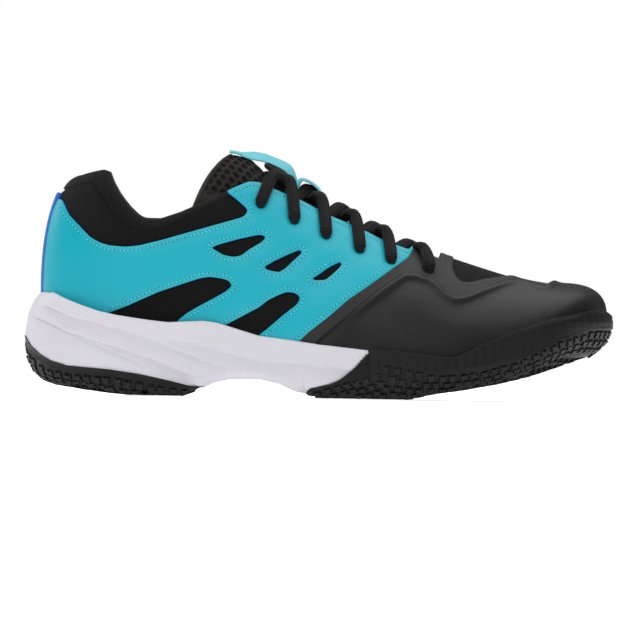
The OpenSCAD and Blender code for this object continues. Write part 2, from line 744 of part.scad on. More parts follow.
// Webbing loop along the tongue's middle, sewn down at its ends and between the two crossings
keeper_lift = 0.3;
module lace_keeper() {
    lie = keeper_t / 2 + keeper_lift;
    arch = 2 * lace_d + 4 * lace_air + lie + 0.6;
    // Rib number and height over the tongue along the loop
    stations = [[5.6, lie], [5.8, lie], [6.2, arch * 0.7], [6.45, arch], [6.97, arch], [7.06, lie + 1],
        [7.10, lie + 0.2], [7.14, lie + 1], [7.22, arch], [7.70, arch], [7.79, lie + 2.5], [7.84, lie + 0.4],
        [7.89, lie]];
    middle = [
        for (s = stations)
            let (p = skin_point(LATERAL, s[0], 0))
            [p[0], p[2] - tongue_at(s[0], 0) + s[1]]
    ];
    n = len(middle);
    normals = [
        for (i = [0 : n - 1])
            let (t = unit(middle[min(i + 1, n - 1)] - middle[max(i - 1, 0)]))
            [-t[1], t[0]]
    ];
    color([0.45, 0.85, 0.88])
        translate([0, keeper_w / 2, 0]) rotate([90, 0, 0]) linear_extrude(keeper_w)
        polygon(concat(
            [for (i = [0 : n - 1]) middle[i] + normals[i] * keeper_t / 2],
            [for (i = [n - 1 : -1 : 0]) middle[i] - normals[i] * keeper_t / 2]
        ));
}

outsole_forefoot();
outsole_heel();
midsole();
shank_plate();
heel_cushion();
forefoot_cushion();
lasting_board();
vamp_mesh();
quarter_mesh_lateral();
quarter_mesh_medial();
vamp_film();
toe_overlay();
toe_puff();
quarter_overlay_lateral();
quarter_overlay_medial();
heel_strip();
heel_counter();
collar_foam();
collar_lining();
vamp_lining();
eyestay_backing_lateral();
eyestay_backing_medial();
lace();
lace_end_lateral();
lace_end_medial();
aglet_lateral();
aglet_medial();
tongue_face();
tongue_foam();
tongue_lining();
lace_keeper();
insole();
insole_cloth();
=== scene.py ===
"""Court shoe for racket sports: the visible pieces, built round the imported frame.

Lengths are in millimetres in the frame's axes (+X to the toe, +Y to the inner
side of the foot, +Z up) and become metres when a mesh is made. The upper's
pieces hang on one surface, the last, whose points have two coordinates: u
counts the ribs from the heel to the toe, and s runs over the shoe from -1 at
the outer (lateral) footbed edge through 0 at the crest to 1 at the inner one.
"""

from __future__ import annotations

import logging
import math
from dataclasses import dataclass, field
from enum import Enum
from typing import Callable, Sequence

import bmesh
import bpy
import mathutils
import numpy as np
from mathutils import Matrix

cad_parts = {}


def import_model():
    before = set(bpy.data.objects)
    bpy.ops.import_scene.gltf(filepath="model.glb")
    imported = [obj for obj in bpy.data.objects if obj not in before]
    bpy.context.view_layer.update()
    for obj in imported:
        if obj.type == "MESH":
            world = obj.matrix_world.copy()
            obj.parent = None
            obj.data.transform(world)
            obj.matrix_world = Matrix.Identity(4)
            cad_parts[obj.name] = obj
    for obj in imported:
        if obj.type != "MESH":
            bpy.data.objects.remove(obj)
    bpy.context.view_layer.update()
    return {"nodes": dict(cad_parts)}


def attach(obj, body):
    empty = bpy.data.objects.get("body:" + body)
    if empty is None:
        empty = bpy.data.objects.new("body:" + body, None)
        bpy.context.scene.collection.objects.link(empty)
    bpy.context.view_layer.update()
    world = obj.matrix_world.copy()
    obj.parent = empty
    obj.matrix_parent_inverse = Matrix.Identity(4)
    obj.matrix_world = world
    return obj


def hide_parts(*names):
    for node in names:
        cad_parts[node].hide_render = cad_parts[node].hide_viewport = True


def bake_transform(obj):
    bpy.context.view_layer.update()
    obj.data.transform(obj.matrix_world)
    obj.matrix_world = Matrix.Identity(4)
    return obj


Array = np.ndarray
Points = Sequence[Sequence[float]]
Piece = bpy.types.Object
Socket = bpy.types.NodeSocket
ShaderTree = bpy.types.NodeTree
norm = np.linalg.norm
MM = 0.001
LOG = logging.getLogger("court_shoe")


class Side(Enum):
    """The two sides of the shoe."""

    LATERAL = -1
    MEDIAL = 1

    @property
    def word(self) -> str:
        """Name of the side in lower case."""
        return self.name.lower()


class Body(Enum):
    """The bodies that the frame moves."""

    SHOE = "shoe"
    TONGUE = "tongue"
    INSOLE = "insole"


# --- curves


def catmull_rom(rows: Array, t: Array) -> Array:
    """Smooth curve through rows of numbers: the cubic of Catmull and Rom.

    Args:
        rows: The rows that the curve passes through.
        t: Places on the curve, from 0 to the last row's number.

    Returns:
        One row for each place.
    """
    rows = np.asarray(rows, float)
    top = len(rows) - 1
    i = np.clip(np.floor(t).astype(int), 0, top - 1)
    f = (np.asarray(t, float) - i)[..., None]
    a, b = rows[np.maximum(i - 1, 0)], rows[i]
    c, d = rows[i + 1], rows[np.minimum(i + 2, top)]
    return 0.5 * (2 * b + (c - a) * f + (2 * a - 5 * b + 4 * c - d) * f**2 + (3 * b - a - 3 * c + d) * f**3)


def evenly(points: Array, step: float, closed: bool = False) -> Array:
    """Points at even distances along a line of straight pieces.

    Args:
        points: Corners of the line.
        step: Distance wanted between neighbours.
        closed: Whether the last corner joins the first.

    Returns:
        The new points. A closed line doesn't repeat its first point.
    """
    line = np.vstack([points, points[:1]]) if closed else np.asarray(points, float)
    length = travelled(line)
    count = max(int(round(length[-1] / step)), 2)
    at = np.linspace(0, length[-1], count + 1)[: count if closed else count + 1]
    return np.stack([np.interp(at, length, line[:, k]) for k in range(line.shape[1])], 1)


def smooth_curve(points: Points, step: float) -> Array:
    """Even points on the open Catmull-Rom curve through some points."""
    rows = np.asarray(points, float)
    return evenly(catmull_rom(rows, np.linspace(0, len(rows) - 1, 12 * len(rows))), step)


def rounded(points: Points, step: float = 2.0, turns: int = 2) -> Array:
    """Closed outline with its corners cut: each turn keeps the quarter points of every side."""
    line = evenly(np.asarray(points, float), step, closed=True)
    for _ in range(turns):
        after = np.roll(line, -1, 0)
        line = np.stack([0.75 * line + 0.25 * after, 0.25 * line + 0.75 * after], 1).reshape(-1, 2)
    return line


def table(points: Points) -> Callable[[Array], Array]:
    """Function that reads a table of x and value with straight lines between its rows."""
    rows = np.asarray(points, float)
    rows = rows[np.argsort(rows[:, 0])]
    return lambda x: np.interp(x, rows[:, 0], rows[:, 1])


def ease(low: float, high: float, x: Array) -> Array:
    """Soft ramp from 0 at low to 1 at high: 3t^2 - 2t^3."""
    t = np.clip((np.asarray(x, float) - low) / (high - low), 0, 1)
    return t * t * (3 - 2 * t)


def unit(v: Array) -> Array:
    """Vectors of length one."""
    return v / np.maximum(norm(v, axis=-1, keepdims=True), 1e-9)


def travelled(line: Array) -> Array:
    """Distance run along a line at each of its points."""
    return np.r_[0, np.cumsum(norm(np.diff(line, axis=0), axis=1))]


def halve(low: Array, high: Array, beyond: Callable[[Array], Array], turns: int) -> Array:
    """Middle of a bracket after it is halved some times: beyond tells where the low end moves up."""
    for _ in range(turns):
        mid = (low + high) / 2
        up = beyond(mid)
        low, high = np.where(up, mid, low), np.where(up, high, mid)
    return (low + high) / 2


def outline_distance(x: Array, z: Array, outline: Array) -> Array:
    """Signed distance to a closed outline, negative inside it.

    The size is the least distance to any side. A point is inside where a ray
    towards +x crosses the sides an odd number of times.

    Args:
        x: First coordinate of the points.
        z: Second coordinate.
        outline: Corners of the outline.

    Returns:
        Distances, in the shape of x.
    """
    a, b = outline, np.roll(outline, -1, 0)
    e = b - a
    length2 = np.maximum((e * e).sum(1), 1e-9)
    px, pz = x.ravel(), z.ravel()
    out = np.empty(len(px))
    block = 8000
    for start in range(0, len(px), block):
        wx = px[start : start + block, None] - a[:, 0]
        wz = pz[start : start + block, None] - a[:, 1]
        t = np.clip((wx * e[:, 0] + wz * e[:, 1]) / length2, 0, 1)
        near = ((wx - e[:, 0] * t) ** 2 + (wz - e[:, 1] * t) ** 2).min(1)
        cuts = (wz < 0) != (wz < e[:, 1])
        rise = np.where(np.abs(e[:, 1]) < 1e-9, 1e-9, e[:, 1])
        crossed = cuts & (wx < wz * e[:, 0] / rise)
        out[start : start + block] = np.sqrt(near) * np.where(crossed.sum(1) % 2 == 1, -1, 1)
    return out.reshape(x.shape)


# --- meshes


@dataclass
class Surface:
    """A mesh being put together: points, faces of three or four corners, and what goes with them."""

    points: Array
    faces: list[Array]
    slots: list[Array] = field(default_factory=list)
    uv: Array | None = None
    marks: dict[str, Array] = field(default_factory=dict)

    def joined(self, other: "Surface") -> "Surface":
        """This surface and another as one, the other's points after its own."""
        shift = len(self.points)
        uv = np.vstack([s.uv if s.uv is not None else np.zeros((len(s.points), 2)) for s in (self, other)])
        marks = {
            k: np.concatenate([s.marks.get(k, np.zeros(len(s.points))) for s in (self, other)])
            for k in {*self.marks, *other.marks}
        }
        points = np.vstack([self.points, other.points])
        faces = self.faces + [f + shift for f in other.faces]
        return Surface(points, faces, self.filled_slots() + other.filled_slots(), uv, marks)

    def filled_slots(self) -> list[Array]:
        """Material number of every face, 0 where none was given."""
        return self.slots or [np.zeros(len(f), int) for f in self.faces]

    def in_slot(self, number: int) -> "Surface":
        """The same surface with all its faces in one material slot."""
        self.slots = [np.full(len(f), number) for f in self.faces]
        return self


def grid_faces(n: int, m: int, around: bool = False, across: bool = False) -> Array:
    """Quads of an n by m grid of points, wound so that first axis x second axis points out.

    Args:
        n: Points along the first axis.
        m: Points along the second axis.
        around: Whether the first axis closes on itself.
        across: Whether the second axis closes on itself.

    Returns:
        Rows of four point numbers.
    """
    i, j = np.meshgrid(np.arange(n if around else n - 1), np.arange(m if across else m - 1), indexing="ij")
    i, j = i.ravel(), j.ravel()
    k, l = (i + 1) % n, (j + 1) % m
    return np.stack([i * m + j, k * m + j, k * m + l, i * m + l], 1)


def arc_lengths(points: Array) -> tuple[Array, Array]:
    """Mean distances run along the first and the second axis of a grid of points."""
    a = norm(np.diff(points, axis=0), axis=2)
    b = norm(np.diff(points, axis=1), axis=2)
    return np.r_[0, np.cumsum(a.mean(1))], np.r_[0, np.cumsum(b.mean(0))]


def grid_surface(points: Array, around: bool = False, across: bool = False, scale: float = 0.1) -> Surface:
    """Surface over a grid of points, with a UV map of the distances along its two axes.

    Args:
        points: Grid of points, n by m by 3.
        around: Whether the first axis closes on itself.
        across: Whether the second axis closes on itself.
        scale: UV units for each millimetre.

    Returns:
        The surface.
    """
    n, m = points.shape[:2]
    uv = np.stack(np.meshgrid(*arc_lengths(points), indexing="ij"), -1).reshape(-1, 2) * scale
    return Surface(points.reshape(-1, 3), [grid_faces(n, m, around, across)], uv=uv)


def open_edges(faces: list[Array]) -> Array:
    """Directed edges that only one face uses."""
    pairs = np.vstack([np.stack([f, np.roll(f, -1, 1)], 2).reshape(-1, 2) for f in faces])
    size = int(pairs.max()) + 1
    key, back = pairs[:, 0] * size + pairs[:, 1], pairs[:, 1] * size + pairs[:, 0]
    return pairs[~np.isin(key, back)]


def rim_faces(faces: list[Array], shift: int) -> Array:
    """Quads that join each open edge to the same edge of a copy whose points come shift later."""
    border = open_edges(faces)
    return np.stack([border[:, 1], border[:, 0], border[:, 0] + shift, border[:, 1] + shift], 1)


def outward(surface: Surface) -> Surface:
    """The surface with its faces turned round if it holds a negative volume.

    The volume is a sixth of the sum of a . (b x c) over the triangles that
    each face fans into, about the middle of the points.
    """
    p = surface.points - surface.points.mean(0)
    total = sum(
        float((p[f[:, 0]] * np.cross(p[f[:, k]], p[f[:, k + 1]])).sum())
        for f in surface.faces
        for k in range(1, f.shape[1] - 1)
    )
    if total < 0:
        surface.faces = [f[:, ::-1] for f in surface.faces]
    return surface


def build(
    name: str,
    surface: Surface,
    finishes: Sequence[Finish],
    weld: float = 0.0,
    sharp: float | None = 38,
) -> Piece:
    """Makes an object at the origin from a surface in millimetres.

    Args:
        name: Name of the object.
        surface: The points and faces.
        finishes: Finishes, in the order of the surface's slot numbers.
        weld: Points nearer than this are merged, in millimetres; 0 for none.
        sharp: Angle in degrees past which an edge is shown sharp, or None.

    Returns:
        The object.
    """
    surface = outward(surface)
    mesh = bpy.data.meshes.new(name)
    sizes = np.concatenate([np.full(len(f), f.shape[1]) for f in surface.faces])
    corners = np.concatenate([f.ravel() for f in surface.faces])
    mesh.vertices.add(len(surface.points))
    mesh.vertices.foreach_set("co", (surface.points * MM).astype(np.float32).ravel())
    mesh.loops.add(len(corners))
    mesh.loops.foreach_set("vertex_index", corners.astype(np.int32))
    mesh.polygons.add(len(sizes))
    mesh.polygons.foreach_set("loop_start", np.r_[0, np.cumsum(sizes)[:-1]].astype(np.int32))
    mesh.polygons.foreach_set("material_index", np.concatenate(surface.filled_slots()).astype(np.int32))
    mesh.polygons.foreach_set("use_smooth", np.ones(len(sizes), bool))
    mesh.update(calc_edges=True)
    if surface.uv is not None:
        layer = mesh.uv_layers.new(name="UVMap")
        layer.data.foreach_set("uv", surface.uv[corners].astype(np.float32).ravel())
    for key, values in surface.marks.items():
        mark = mesh.attributes.new(key, "FLOAT", "POINT")
        mark.data.foreach_set("value", np.asarray(values, np.float32))
    for finish in finishes:
        mesh.materials.append(finish.material())
    if weld:
        work = bmesh.new()
        work.from_mesh(mesh)
        bmesh.ops.remove_doubles(work, verts=work.verts, dist=weld * MM)
        bmesh.ops.dissolve_degenerate(work, edges=work.edges, dist=1e-7)
        work.to_mesh(mesh)
        work.free()
    mesh.validate()
    if sharp is not None:
        mesh.set_sharp_from_angle(angle=math.radians(sharp))
    piece = bpy.data.objects.new(name, mesh)
    bpy.context.scene.collection.objects.link(piece)
    return piece


def sweep(path: Array, profile: Array, upright: Array, capped: bool = True) -> Surface:
    """Carries a closed profile along a path.

    Each station's frame is the path's direction, the given upright made square
    to it, and their cross product. A profile point (a, b) goes to
    station + a * sideways + b * upright.

    Args:
        path: Stations, n by 3.
        profile: Points of the section, m by 2, or n by m by 2 where it changes.
        upright: Direction of the section's second axis at each station.
        capped: Whether both ends are closed with a point in their middle.

    Returns:
        The tube, with a UV map along and around it.
    """
    n = len(path)
    along = unit(np.gradient(path, axis=0))
    up = unit(upright - (upright * along).sum(1, keepdims=True) * along)
    side = np.cross(along, up)
    section = np.broadcast_to(profile, (n, *profile.shape[-2:]))
    points = path[:, None] + section[..., :1] * side[:, None] + section[..., 1:] * up[:, None]
    m = points.shape[1]
    run = travelled(path)
    girth = np.arange(m) / m
    uv = np.stack(np.meshgrid(run * 0.1, girth, indexing="ij"), -1).reshape(-1, 2)
    flat = points.reshape(-1, 3)
    faces = [grid_faces(n, m, across=True)[:, ::-1]]
    if capped:
        ring = np.arange(m)
        after = np.roll(ring, -1)
        first, last = len(flat), len(flat) + 1
        flat = np.vstack([flat, path[0], path[-1]])
        uv = np.vstack([uv, [[0, 0.5]], [[run[-1] * 0.1, 0.5]]])
        faces.append(np.stack([ring, after, np.full(m, first)], 1))
        end = ring + (n - 1) * m
        faces.append(np.stack([after + (n - 1) * m, end, np.full(m, last)], 1))
    return Surface(flat, faces, uv=uv)


def oval(width: float, height: float, corners: int, power: float = 2.4) -> Array:
    """Rounded section: a superellipse, |x/a|^p + |y/b|^p = 1."""
    t = np.linspace(0, 2 * math.pi, corners, endpoint=False)
    c, s = np.cos(t), np.sin(t)
    x, y = (np.sign(v) * np.abs(v) ** (2 / power) for v in (c, s))
    return np.stack([0.5 * width * x, 0.5 * height * y], 1)


# --- the last


@dataclass(frozen=True)
class Last:
    """The surface that the upper follows.

    Each rib is a cubic Bezier curve from the footbed's edge to the crest. Its
    first handle rises by a share of the height and bulges outward, its second
    lies flat, so both sides meet smoothly at the crest.
    """

    # x, lateral and medial half width, z of the footbed's edge, x, y, z of the crest,
    # bulge, height of the wall's handle, length of the crest's handle
    ribs: Points = (
        (-138.2, 0, 0, 25, -94, 0, 126, 6, 0.62, 0.90),
        (-135, 12, 12, 25, -93, 0, 126, 6, 0.62, 0.90),
        (-125, 22, 21, 24, -90, 0, 126, 6, 0.62, 0.90),
        (-108, 29, 27, 23, -85, 0, 127, 7, 0.62, 0.86),
        (-84, 32, 29, 21, -78, 0, 128, 6, 0.60, 0.80),
        (-60, 33, 28, 20, -60, 0, 128, 7, 0.58, 0.74),
        (-38, 35, 28, 19, -38, 0, 124, 8, 0.55, 0.62),
        (-16, 39, 31, 18, -16, 0, 113, 7, 0.52, 0.52),
        (6, 44, 37, 17, 6, 0, 101, 5, 0.50, 0.46),
        (30, 49, 44, 15, 30, 0, 88, 4, 0.48, 0.46),
        (54, 51, 49, 15, 54, 0, 77, 3, 0.46, 0.46),
        (78, 49, 50, 18, 78, 1, 69, 2, 0.45, 0.50),
        (100, 43, 47, 24, 99, 3, 63, 2, 0.48, 0.55),
        (120, 32, 38, 30, 112, 4, 60.5, 2, 0.55, 0.66),
        (134, 18, 26, 35, 117, 5, 60, 2, 0.60, 0.80),
        (142, 2, 12, 38, 120, 5, 60, 2, 0.60, 0.86),
        (143, -5, 5, 38.5, 122, 5, 60, 2, 0.60, 0.86),
    )

    @property
    def end(self) -> float:
        """Number of the last rib."""
        return len(self.ribs) - 1

    def point(self, u: Array, s: Array) -> Array:
        """Points of the surface at rib numbers u and places s from -1 to 1."""
        u, s = np.broadcast_arrays(np.asarray(u, float), np.asarray(s, float))
        r = catmull_rom(np.asarray(self.ribs), u)
        y = np.where(s < 0, -r[..., 1], r[..., 2])
        foot = np.stack([r[..., 0], y, r[..., 3]], -1)
        crest = r[..., 4:7]
        flat = (foot - crest) * (1, 1, 0)
        wall = foot + unit(flat) * r[..., 7:8]
        wall[..., 2] += r[..., 8] * (crest[..., 2] - foot[..., 2])
        roof = crest + flat * r[..., 9:10]
        v = np.abs(s)[..., None]
        t = 1 - v
        return v**3 * foot + 3 * t * v * v * wall + 3 * t * t * v * roof + t**3 * crest

    def normal(self, u: Array, s: Array) -> Array:
        """Outward directions: the cross product of the steps along u and along s."""
        u, s = np.broadcast_arrays(np.asarray(u, float), np.asarray(s, float))
        e = 0.004
        along = self.point(np.minimum(u + e, self.end), s) - self.point(np.maximum(u - e, 0), s)
        over = self.point(u, np.minimum(s + e, 1)) - self.point(u, np.maximum(s - e, -1))
        n = unit(np.cross(along, over))
        at_end = ((u < e) | (u > self.end - e))[..., None]
        return unit(np.where(at_end, n * (1, 0, 1), n))

    def out(self, u: Array, s: Array, height: Array | float) -> Array:
        """Points at a height outside the surface, or a depth inside it where that is negative."""
        return self.point(u, s) + self.normal(u, s) * np.asarray(height, float)[..., None]

    def at_y(self, u: Array, y: Array, height: Array | float = 0.0) -> Array:
        """Places s at which the surface, at a height, has a given y; found by halving."""
        u, y = np.broadcast_arrays(np.asarray(u, float), np.asarray(y, float))
        side = np.where(y < 0, -1, 1)

        def inside(mid: Array) -> Array:
            """Whether the surface there is nearer the middle plane than y."""
            return np.abs(self.out(u, side * mid, height)[..., 1]) < np.abs(y)

        return side * halve(np.zeros(u.shape), np.full(u.shape, 0.75), inside, 18)

    def place(self, xz: Array, side: Side) -> tuple[Array, Array]:
        """Rib numbers and places of points seen from the side.

        The nearest point of a coarse grid starts a few steps of Newton's rule.

        Args:
            xz: Rows of x and z.
            side: Side of the shoe to look on.

        Returns:
            The values of u and of s.
        """
        u, s = np.meshgrid(np.linspace(0, self.end, 220), np.linspace(0.02, 1, 90) * side.value, indexing="ij")
        seen = self.point(u, s)[..., ::2].reshape(-1, 2)
        pick = np.concatenate([
            ((seen[None] - part[:, None]) ** 2).sum(2).argmin(1) for part in np.array_split(xz, len(xz) // 150 + 1)
        ])
        u, s = u.ravel()[pick], s.ravel()[pick]
        e = 1e-3
        for _ in range(5):
            here = self.point(u, s)[:, ::2]
            du = (self.point(np.clip(u + e, 0, self.end), s)[:, ::2] - here) / e
            ds = (self.point(u, s - side.value * e)[:, ::2] - here) / (-side.value * e)
            miss = xz - here
            det = du[:, 0] * ds[:, 1] - du[:, 1] * ds[:, 0]
            det = np.where(np.abs(det) < 1e-3, 1e-3, det)
            step_u = (miss[:, 0] * ds[:, 1] - miss[:, 1] * ds[:, 0]) / det
            step_s = (du[:, 0] * miss[:, 1] - du[:, 1] * miss[:, 0]) / det
            u = np.clip(u + np.clip(step_u, -0.2, 0.2), 0, self.end)
            s = side.value * np.clip(side.value * s + np.clip(side.value * step_s, -0.05, 0.05), 0.005, 1)
        return u, s


LAST = Last()
Field = Callable[[Array, Array, Array], Array]


def clip_grid(distance: Array) -> tuple[Array, list[Array]]:
    """Keeps the part of a grid where a distance is negative, with its border cut smoothly.

    Whole cells stay quads. A cell that the border crosses becomes two
    triangles, each cut where the distance, taken as linear on its sides, is 0.

    Args:
        distance: Signed distance at each point of the grid.

    Returns:
        Places of the kept points on the grid, as fractions of its rows and
        columns, and the faces.
    """
    n, m = distance.shape
    d = np.where(np.abs(distance) < 0.02, -0.02, distance).ravel()
    total = n * m
    cells = grid_faces(n, m)
    kept = d[cells] <= 0
    whole = kept.all(1)
    part = cells[kept.any(1) & ~whole]
    tri = np.concatenate([part[:, [0, 1, 2]], part[:, [0, 2, 3]]])
    inside = d[tri] <= 0
    count = inside.sum(1)

    def turned(rows: Array, odd: Array) -> Array:
        """Each triangle turned so that its odd corner comes first."""
        return np.take_along_axis(rows, (odd.argmax(1)[:, None] + np.arange(3)) % 3, 1)

    def between(p: Array, q: Array) -> Array:
        """One number for the point on the side from p to q."""
        return (np.minimum(p, q) + 1) * total + np.maximum(p, q)

    one = turned(tri[count == 1], inside[count == 1])
    two = turned(tri[count == 2], ~inside[count == 2])
    tips = np.stack([one[:, 0], between(one[:, 0], one[:, 1]), between(one[:, 0], one[:, 2])], 1)
    bases = np.stack([between(two[:, 0], two[:, 1]), two[:, 1], two[:, 2], between(two[:, 0], two[:, 2])], 1)
    groups = [cells[whole], bases, tri[count == 3], tips]
    keys, numbers = np.unique(np.concatenate([g.ravel() for g in groups]), return_inverse=True)
    cuts = np.cumsum([g.size for g in groups])[:-1]
    faces = [f.reshape(g.shape) for f, g in zip(np.split(numbers.ravel(), cuts), groups)]
    p = np.where(keys < total, keys, keys // total - 1)
    q = np.where(keys < total, keys, keys % total)
    t = np.where(p == q, 0, d[p] / np.where(p == q, 1, d[p] - d[q]))
    at = np.stack([p // m + t * (q // m - p // m), p % m + t * (q % m - p % m)], 1)
    return at, [f for f in faces if len(f)]


@dataclass
class Sheet:
    """A sheet that follows the last, cut to a shape.

    Attributes:
        shape: Signed distance to its edge from x, y, z of the last's surface.
        top: Height of its face above the last's surface, from u, s and the distance.
        low: Height of its back.
        u: First and last rib number.
        s: First and last place over the shoe.
        cell: Size of the grid's cells.
    """

    shape: Field
    top: Callable[[Array, Array, Array], Array]
    low: float
    u: tuple[float, float] = (0.0, 16.0)
    s: tuple[float, float] = (-1.0, 1.0)
    cell: float = 1.3

    def surface(self, edge_slot: int = 0) -> Surface:
        """Face, back and cut edge of the sheet as one closed surface.

        Args:
            edge_slot: Material slot of the cut edge.

        Returns:
            The surface, with the distance to the edge as the mark "edge".
        """
        across = 125 * (self.s[1] - self.s[0])
        cols = max(int(across / self.cell), 4)
        spacing = evenly(
            LAST.point(np.linspace(*self.u, 400), np.full(400, self.s[0] * 0.75 + self.s[1] * 0.25)), self.cell
        )
        rows = max(int(1.15 * len(spacing)), 4)
        u, s = np.linspace(*self.u, rows), np.linspace(*self.s, cols)
        uu, ss = np.meshgrid(u, s, indexing="ij")
        base = LAST.point(uu, ss)
        distance = self.shape(base[..., 0], base[..., 1], base[..., 2])
        at, faces = clip_grid(distance)
        pu, ps = np.interp(at[:, 0], np.arange(rows), u), np.interp(at[:, 1], np.arange(cols), s)
        cell_u, cell_s = at.astype(int).T
        cell_u, cell_s = np.minimum(cell_u, rows - 2), np.minimum(cell_s, cols - 2)
        fu, fs = at[:, 0] - cell_u, at[:, 1] - cell_s
        d = (
            distance[cell_u, cell_s] * (1 - fu) * (1 - fs)
            + distance[cell_u + 1, cell_s] * fu * (1 - fs)
            + distance[cell_u, cell_s + 1] * (1 - fu) * fs
            + distance[cell_u + 1, cell_s + 1] * fu * fs
        )
        p, n = LAST.point(pu, ps), LAST.normal(pu, ps)
        k = len(p)
        points = np.vstack([p + n * self.top(pu, ps, d)[:, None], p + n * self.low])
        run, over = arc_lengths(base)
        uv = 0.1 * np.stack([np.interp(at[:, 0], np.arange(rows), run), np.interp(at[:, 1], np.arange(cols), over)], 1)
        rim = rim_faces(faces, k)
        row = at[rim[:, :2], 0]
        heel_seam = (row < 0.5).all(1) & (self.u[0] == 0)
        toe_seam = (row > rows - 1.5).all(1) & (self.u[1] == LAST.end)
        rim = rim[~(heel_seam | toe_seam)]
        back = [f[:, ::-1] + k for f in faces]
        slots = [np.zeros(len(f), int) for f in faces + back] + [np.full(len(rim), edge_slot)]
        return Surface(points, [*faces, *back, rim], slots, np.vstack([uv, uv]), {"edge": np.r_[d, d]})


def bevel(distance: Array, size: float = 0.45, width: float = 0.9) -> Array:
    """Drop of a face towards its edge: a quarter circle over the last bit of the way."""
    t = np.clip(1 + distance / width, 0, 1)
    return size * (1 - np.sqrt(1 - t * t * 0.98))


# --- outlines


TOP_EDGE: Points = (
    (-135, 100), (-129, 104.5), (-121, 110), (-113, 112), (-105, 111), (-101, 107), (-97, 101),
    (-93, 95), (-89, 90.5), (-85, 89), (-80, 89.5), (-73, 92), (-65, 96), (-57, 99.5), (-48, 103),
    (-44, 105), (-37, 108), (-32, 108), (-27, 106), (-10, 99), (-2, 95), (6, 91), (14, 88),
    (23, 84), (29, 81), (37, 78), (44, 75.5),
)
THROAT_HALF = 13.5
THROAT_FRONT = 60.0


class Cut:
    """The outlines of the upper's pieces, seen from the side, as signed distances."""

    over_edge = rounded([*TOP_EDGE, (52, 90), (52, 160), (-175, 160), (-175, 100)], turns=1)
    overlay = rounded((
        (-160, 12), (-160, 98), (-131, 98), (-127, 90), (-121, 84), (-116, 79), (-111, 76.2),
        (-106, 74.8), (-98, 74.2), (-91, 75), (-81, 77.6), (-61, 83.6), (-41, 89.6), (-38, 91), (-37, 94),
        (-42, 98.5), (-48, 103), (-54, 118), (60, 122), (47, 80), (45.5, 75), (43.5, 71.5), (36, 66),
        (24, 57), (14, 50), (4, 41), (-6, 33), (-10, 29), (-20, 15), (-30, 8),
    ))
    finger_rear = rounded((
        (-114, 37), (-106, 41), (-96, 45), (-81, 52), (-71, 55.5), (-61, 59), (-56, 60), (-51, 59.5),
        (-46.5, 58.5), (-44, 56), (-47, 53), (-53, 49.4), (-61, 45), (-66, 42), (-71, 38), (-74, 30), (-114, 28),
    ), turns=3)
    finger_front = rounded((
        (-54, 30), (-48, 35.5), (-41, 39.5), (-31, 45), (-26, 49), (-21, 51.6), (-16.5, 53.3), (-12, 52.5),
        (-10, 50), (-12, 46.7), (-18, 42), (-23, 37.5), (-27, 34), (-31, 31), (-37, 22), (-58, 22),
    ), turns=3)
    windows = [
        rounded(points, 1.4, 3)
        for points in (
            ((-55, 74.5), (-52, 76), (-41, 79.3), (-31, 81.6), (-27.5, 80.5), (-29.5, 78), (-36, 74),
             (-40, 70.8), (-44, 70), (-49, 71)),
            ((-29, 65), (-24, 68.2), (-16, 72.2), (-10.5, 74.5), (-9.5, 72.8), (-13, 69.6), (-18, 64.7),
             (-21, 62.8), (-26, 63.6)),
            ((-4.8, 59.8), (-1, 62.2), (4, 66), (10, 69), (10.3, 67), (8, 64.5), (4, 60.7), (2, 59.4), (-3, 59)),
        )
    ]
    toe = rounded((
        (-8, 20), (-2, 28.5), (9, 38), (19, 47), (29, 55), (37, 61), (41, 63.6), (47, 63.8), (55, 61.3), (59.5, 58.5),
        (63, 54.5), (67, 52.2), (72, 53), (79, 56), (89, 60), (96, 62), (101, 62.2), (106, 60.2), (113, 59),
        (122, 66), (160, 66), (160, 8), (-8, 8),
    ))
    film = rounded((
        (-30, 10), (-6, 36), (12, 50), (22, 57), (34, 66), (42, 72.5), (44.5, 76), (56, 96), (68, 96), (66.5, 72),
        (66, 67), (68, 62),
        (71, 60), (75, 60), (81, 61.8), (89, 63.2), (97, 64.5), (104, 66), (120, 66), (120, 10),
    ))

    @staticmethod
    def opening(x: Array, y: Array, z: Array) -> Array:
        """Distance to the way in: over the top edge, or in the throat's slot."""
        slot = np.maximum.reduce([np.abs(y) - THROAT_HALF, x - THROAT_FRONT, -60 - x, 60 - z])
        return np.minimum(outline_distance(x, z, Cut.over_edge), slot)

    @staticmethod
    def holes(x: Array, z: Array, outlines: Sequence[Array]) -> Array:
        """Least distance to some outlines."""
        return np.minimum.reduce([outline_distance(x, z, o) for o in outlines])


EYELETS: Points = ((6.33, 0.44), (7.10, 0.44), (7.83, 0.44), (8.55, 0.43), (9.20, 0.41), (10.0, 0.36))
EYELET_RADIUS = 2.5


def eyelet_distance(x: Array, y: Array, z: Array) -> Array:
    """Distance to the nearest eyelet's rim."""
    places = np.asarray(EYELETS)
    p = np.stack([x, y, z], -1)
    centres = np.vstack([LAST.point(places[:, 0], side.value * places[:, 1]) for side in Side])
    return np.minimum.reduce([norm(p - c, axis=-1) for c in centres]) - EYELET_RADIUS


def clear_of_holes(x: Array, y: Array, z: Array) -> Array:
    """Distance that is negative outside the way in and the eyelets."""
    return np.maximum(-Cut.opening(x, y, z), -eyelet_distance(x, y, z))


# --- finishes


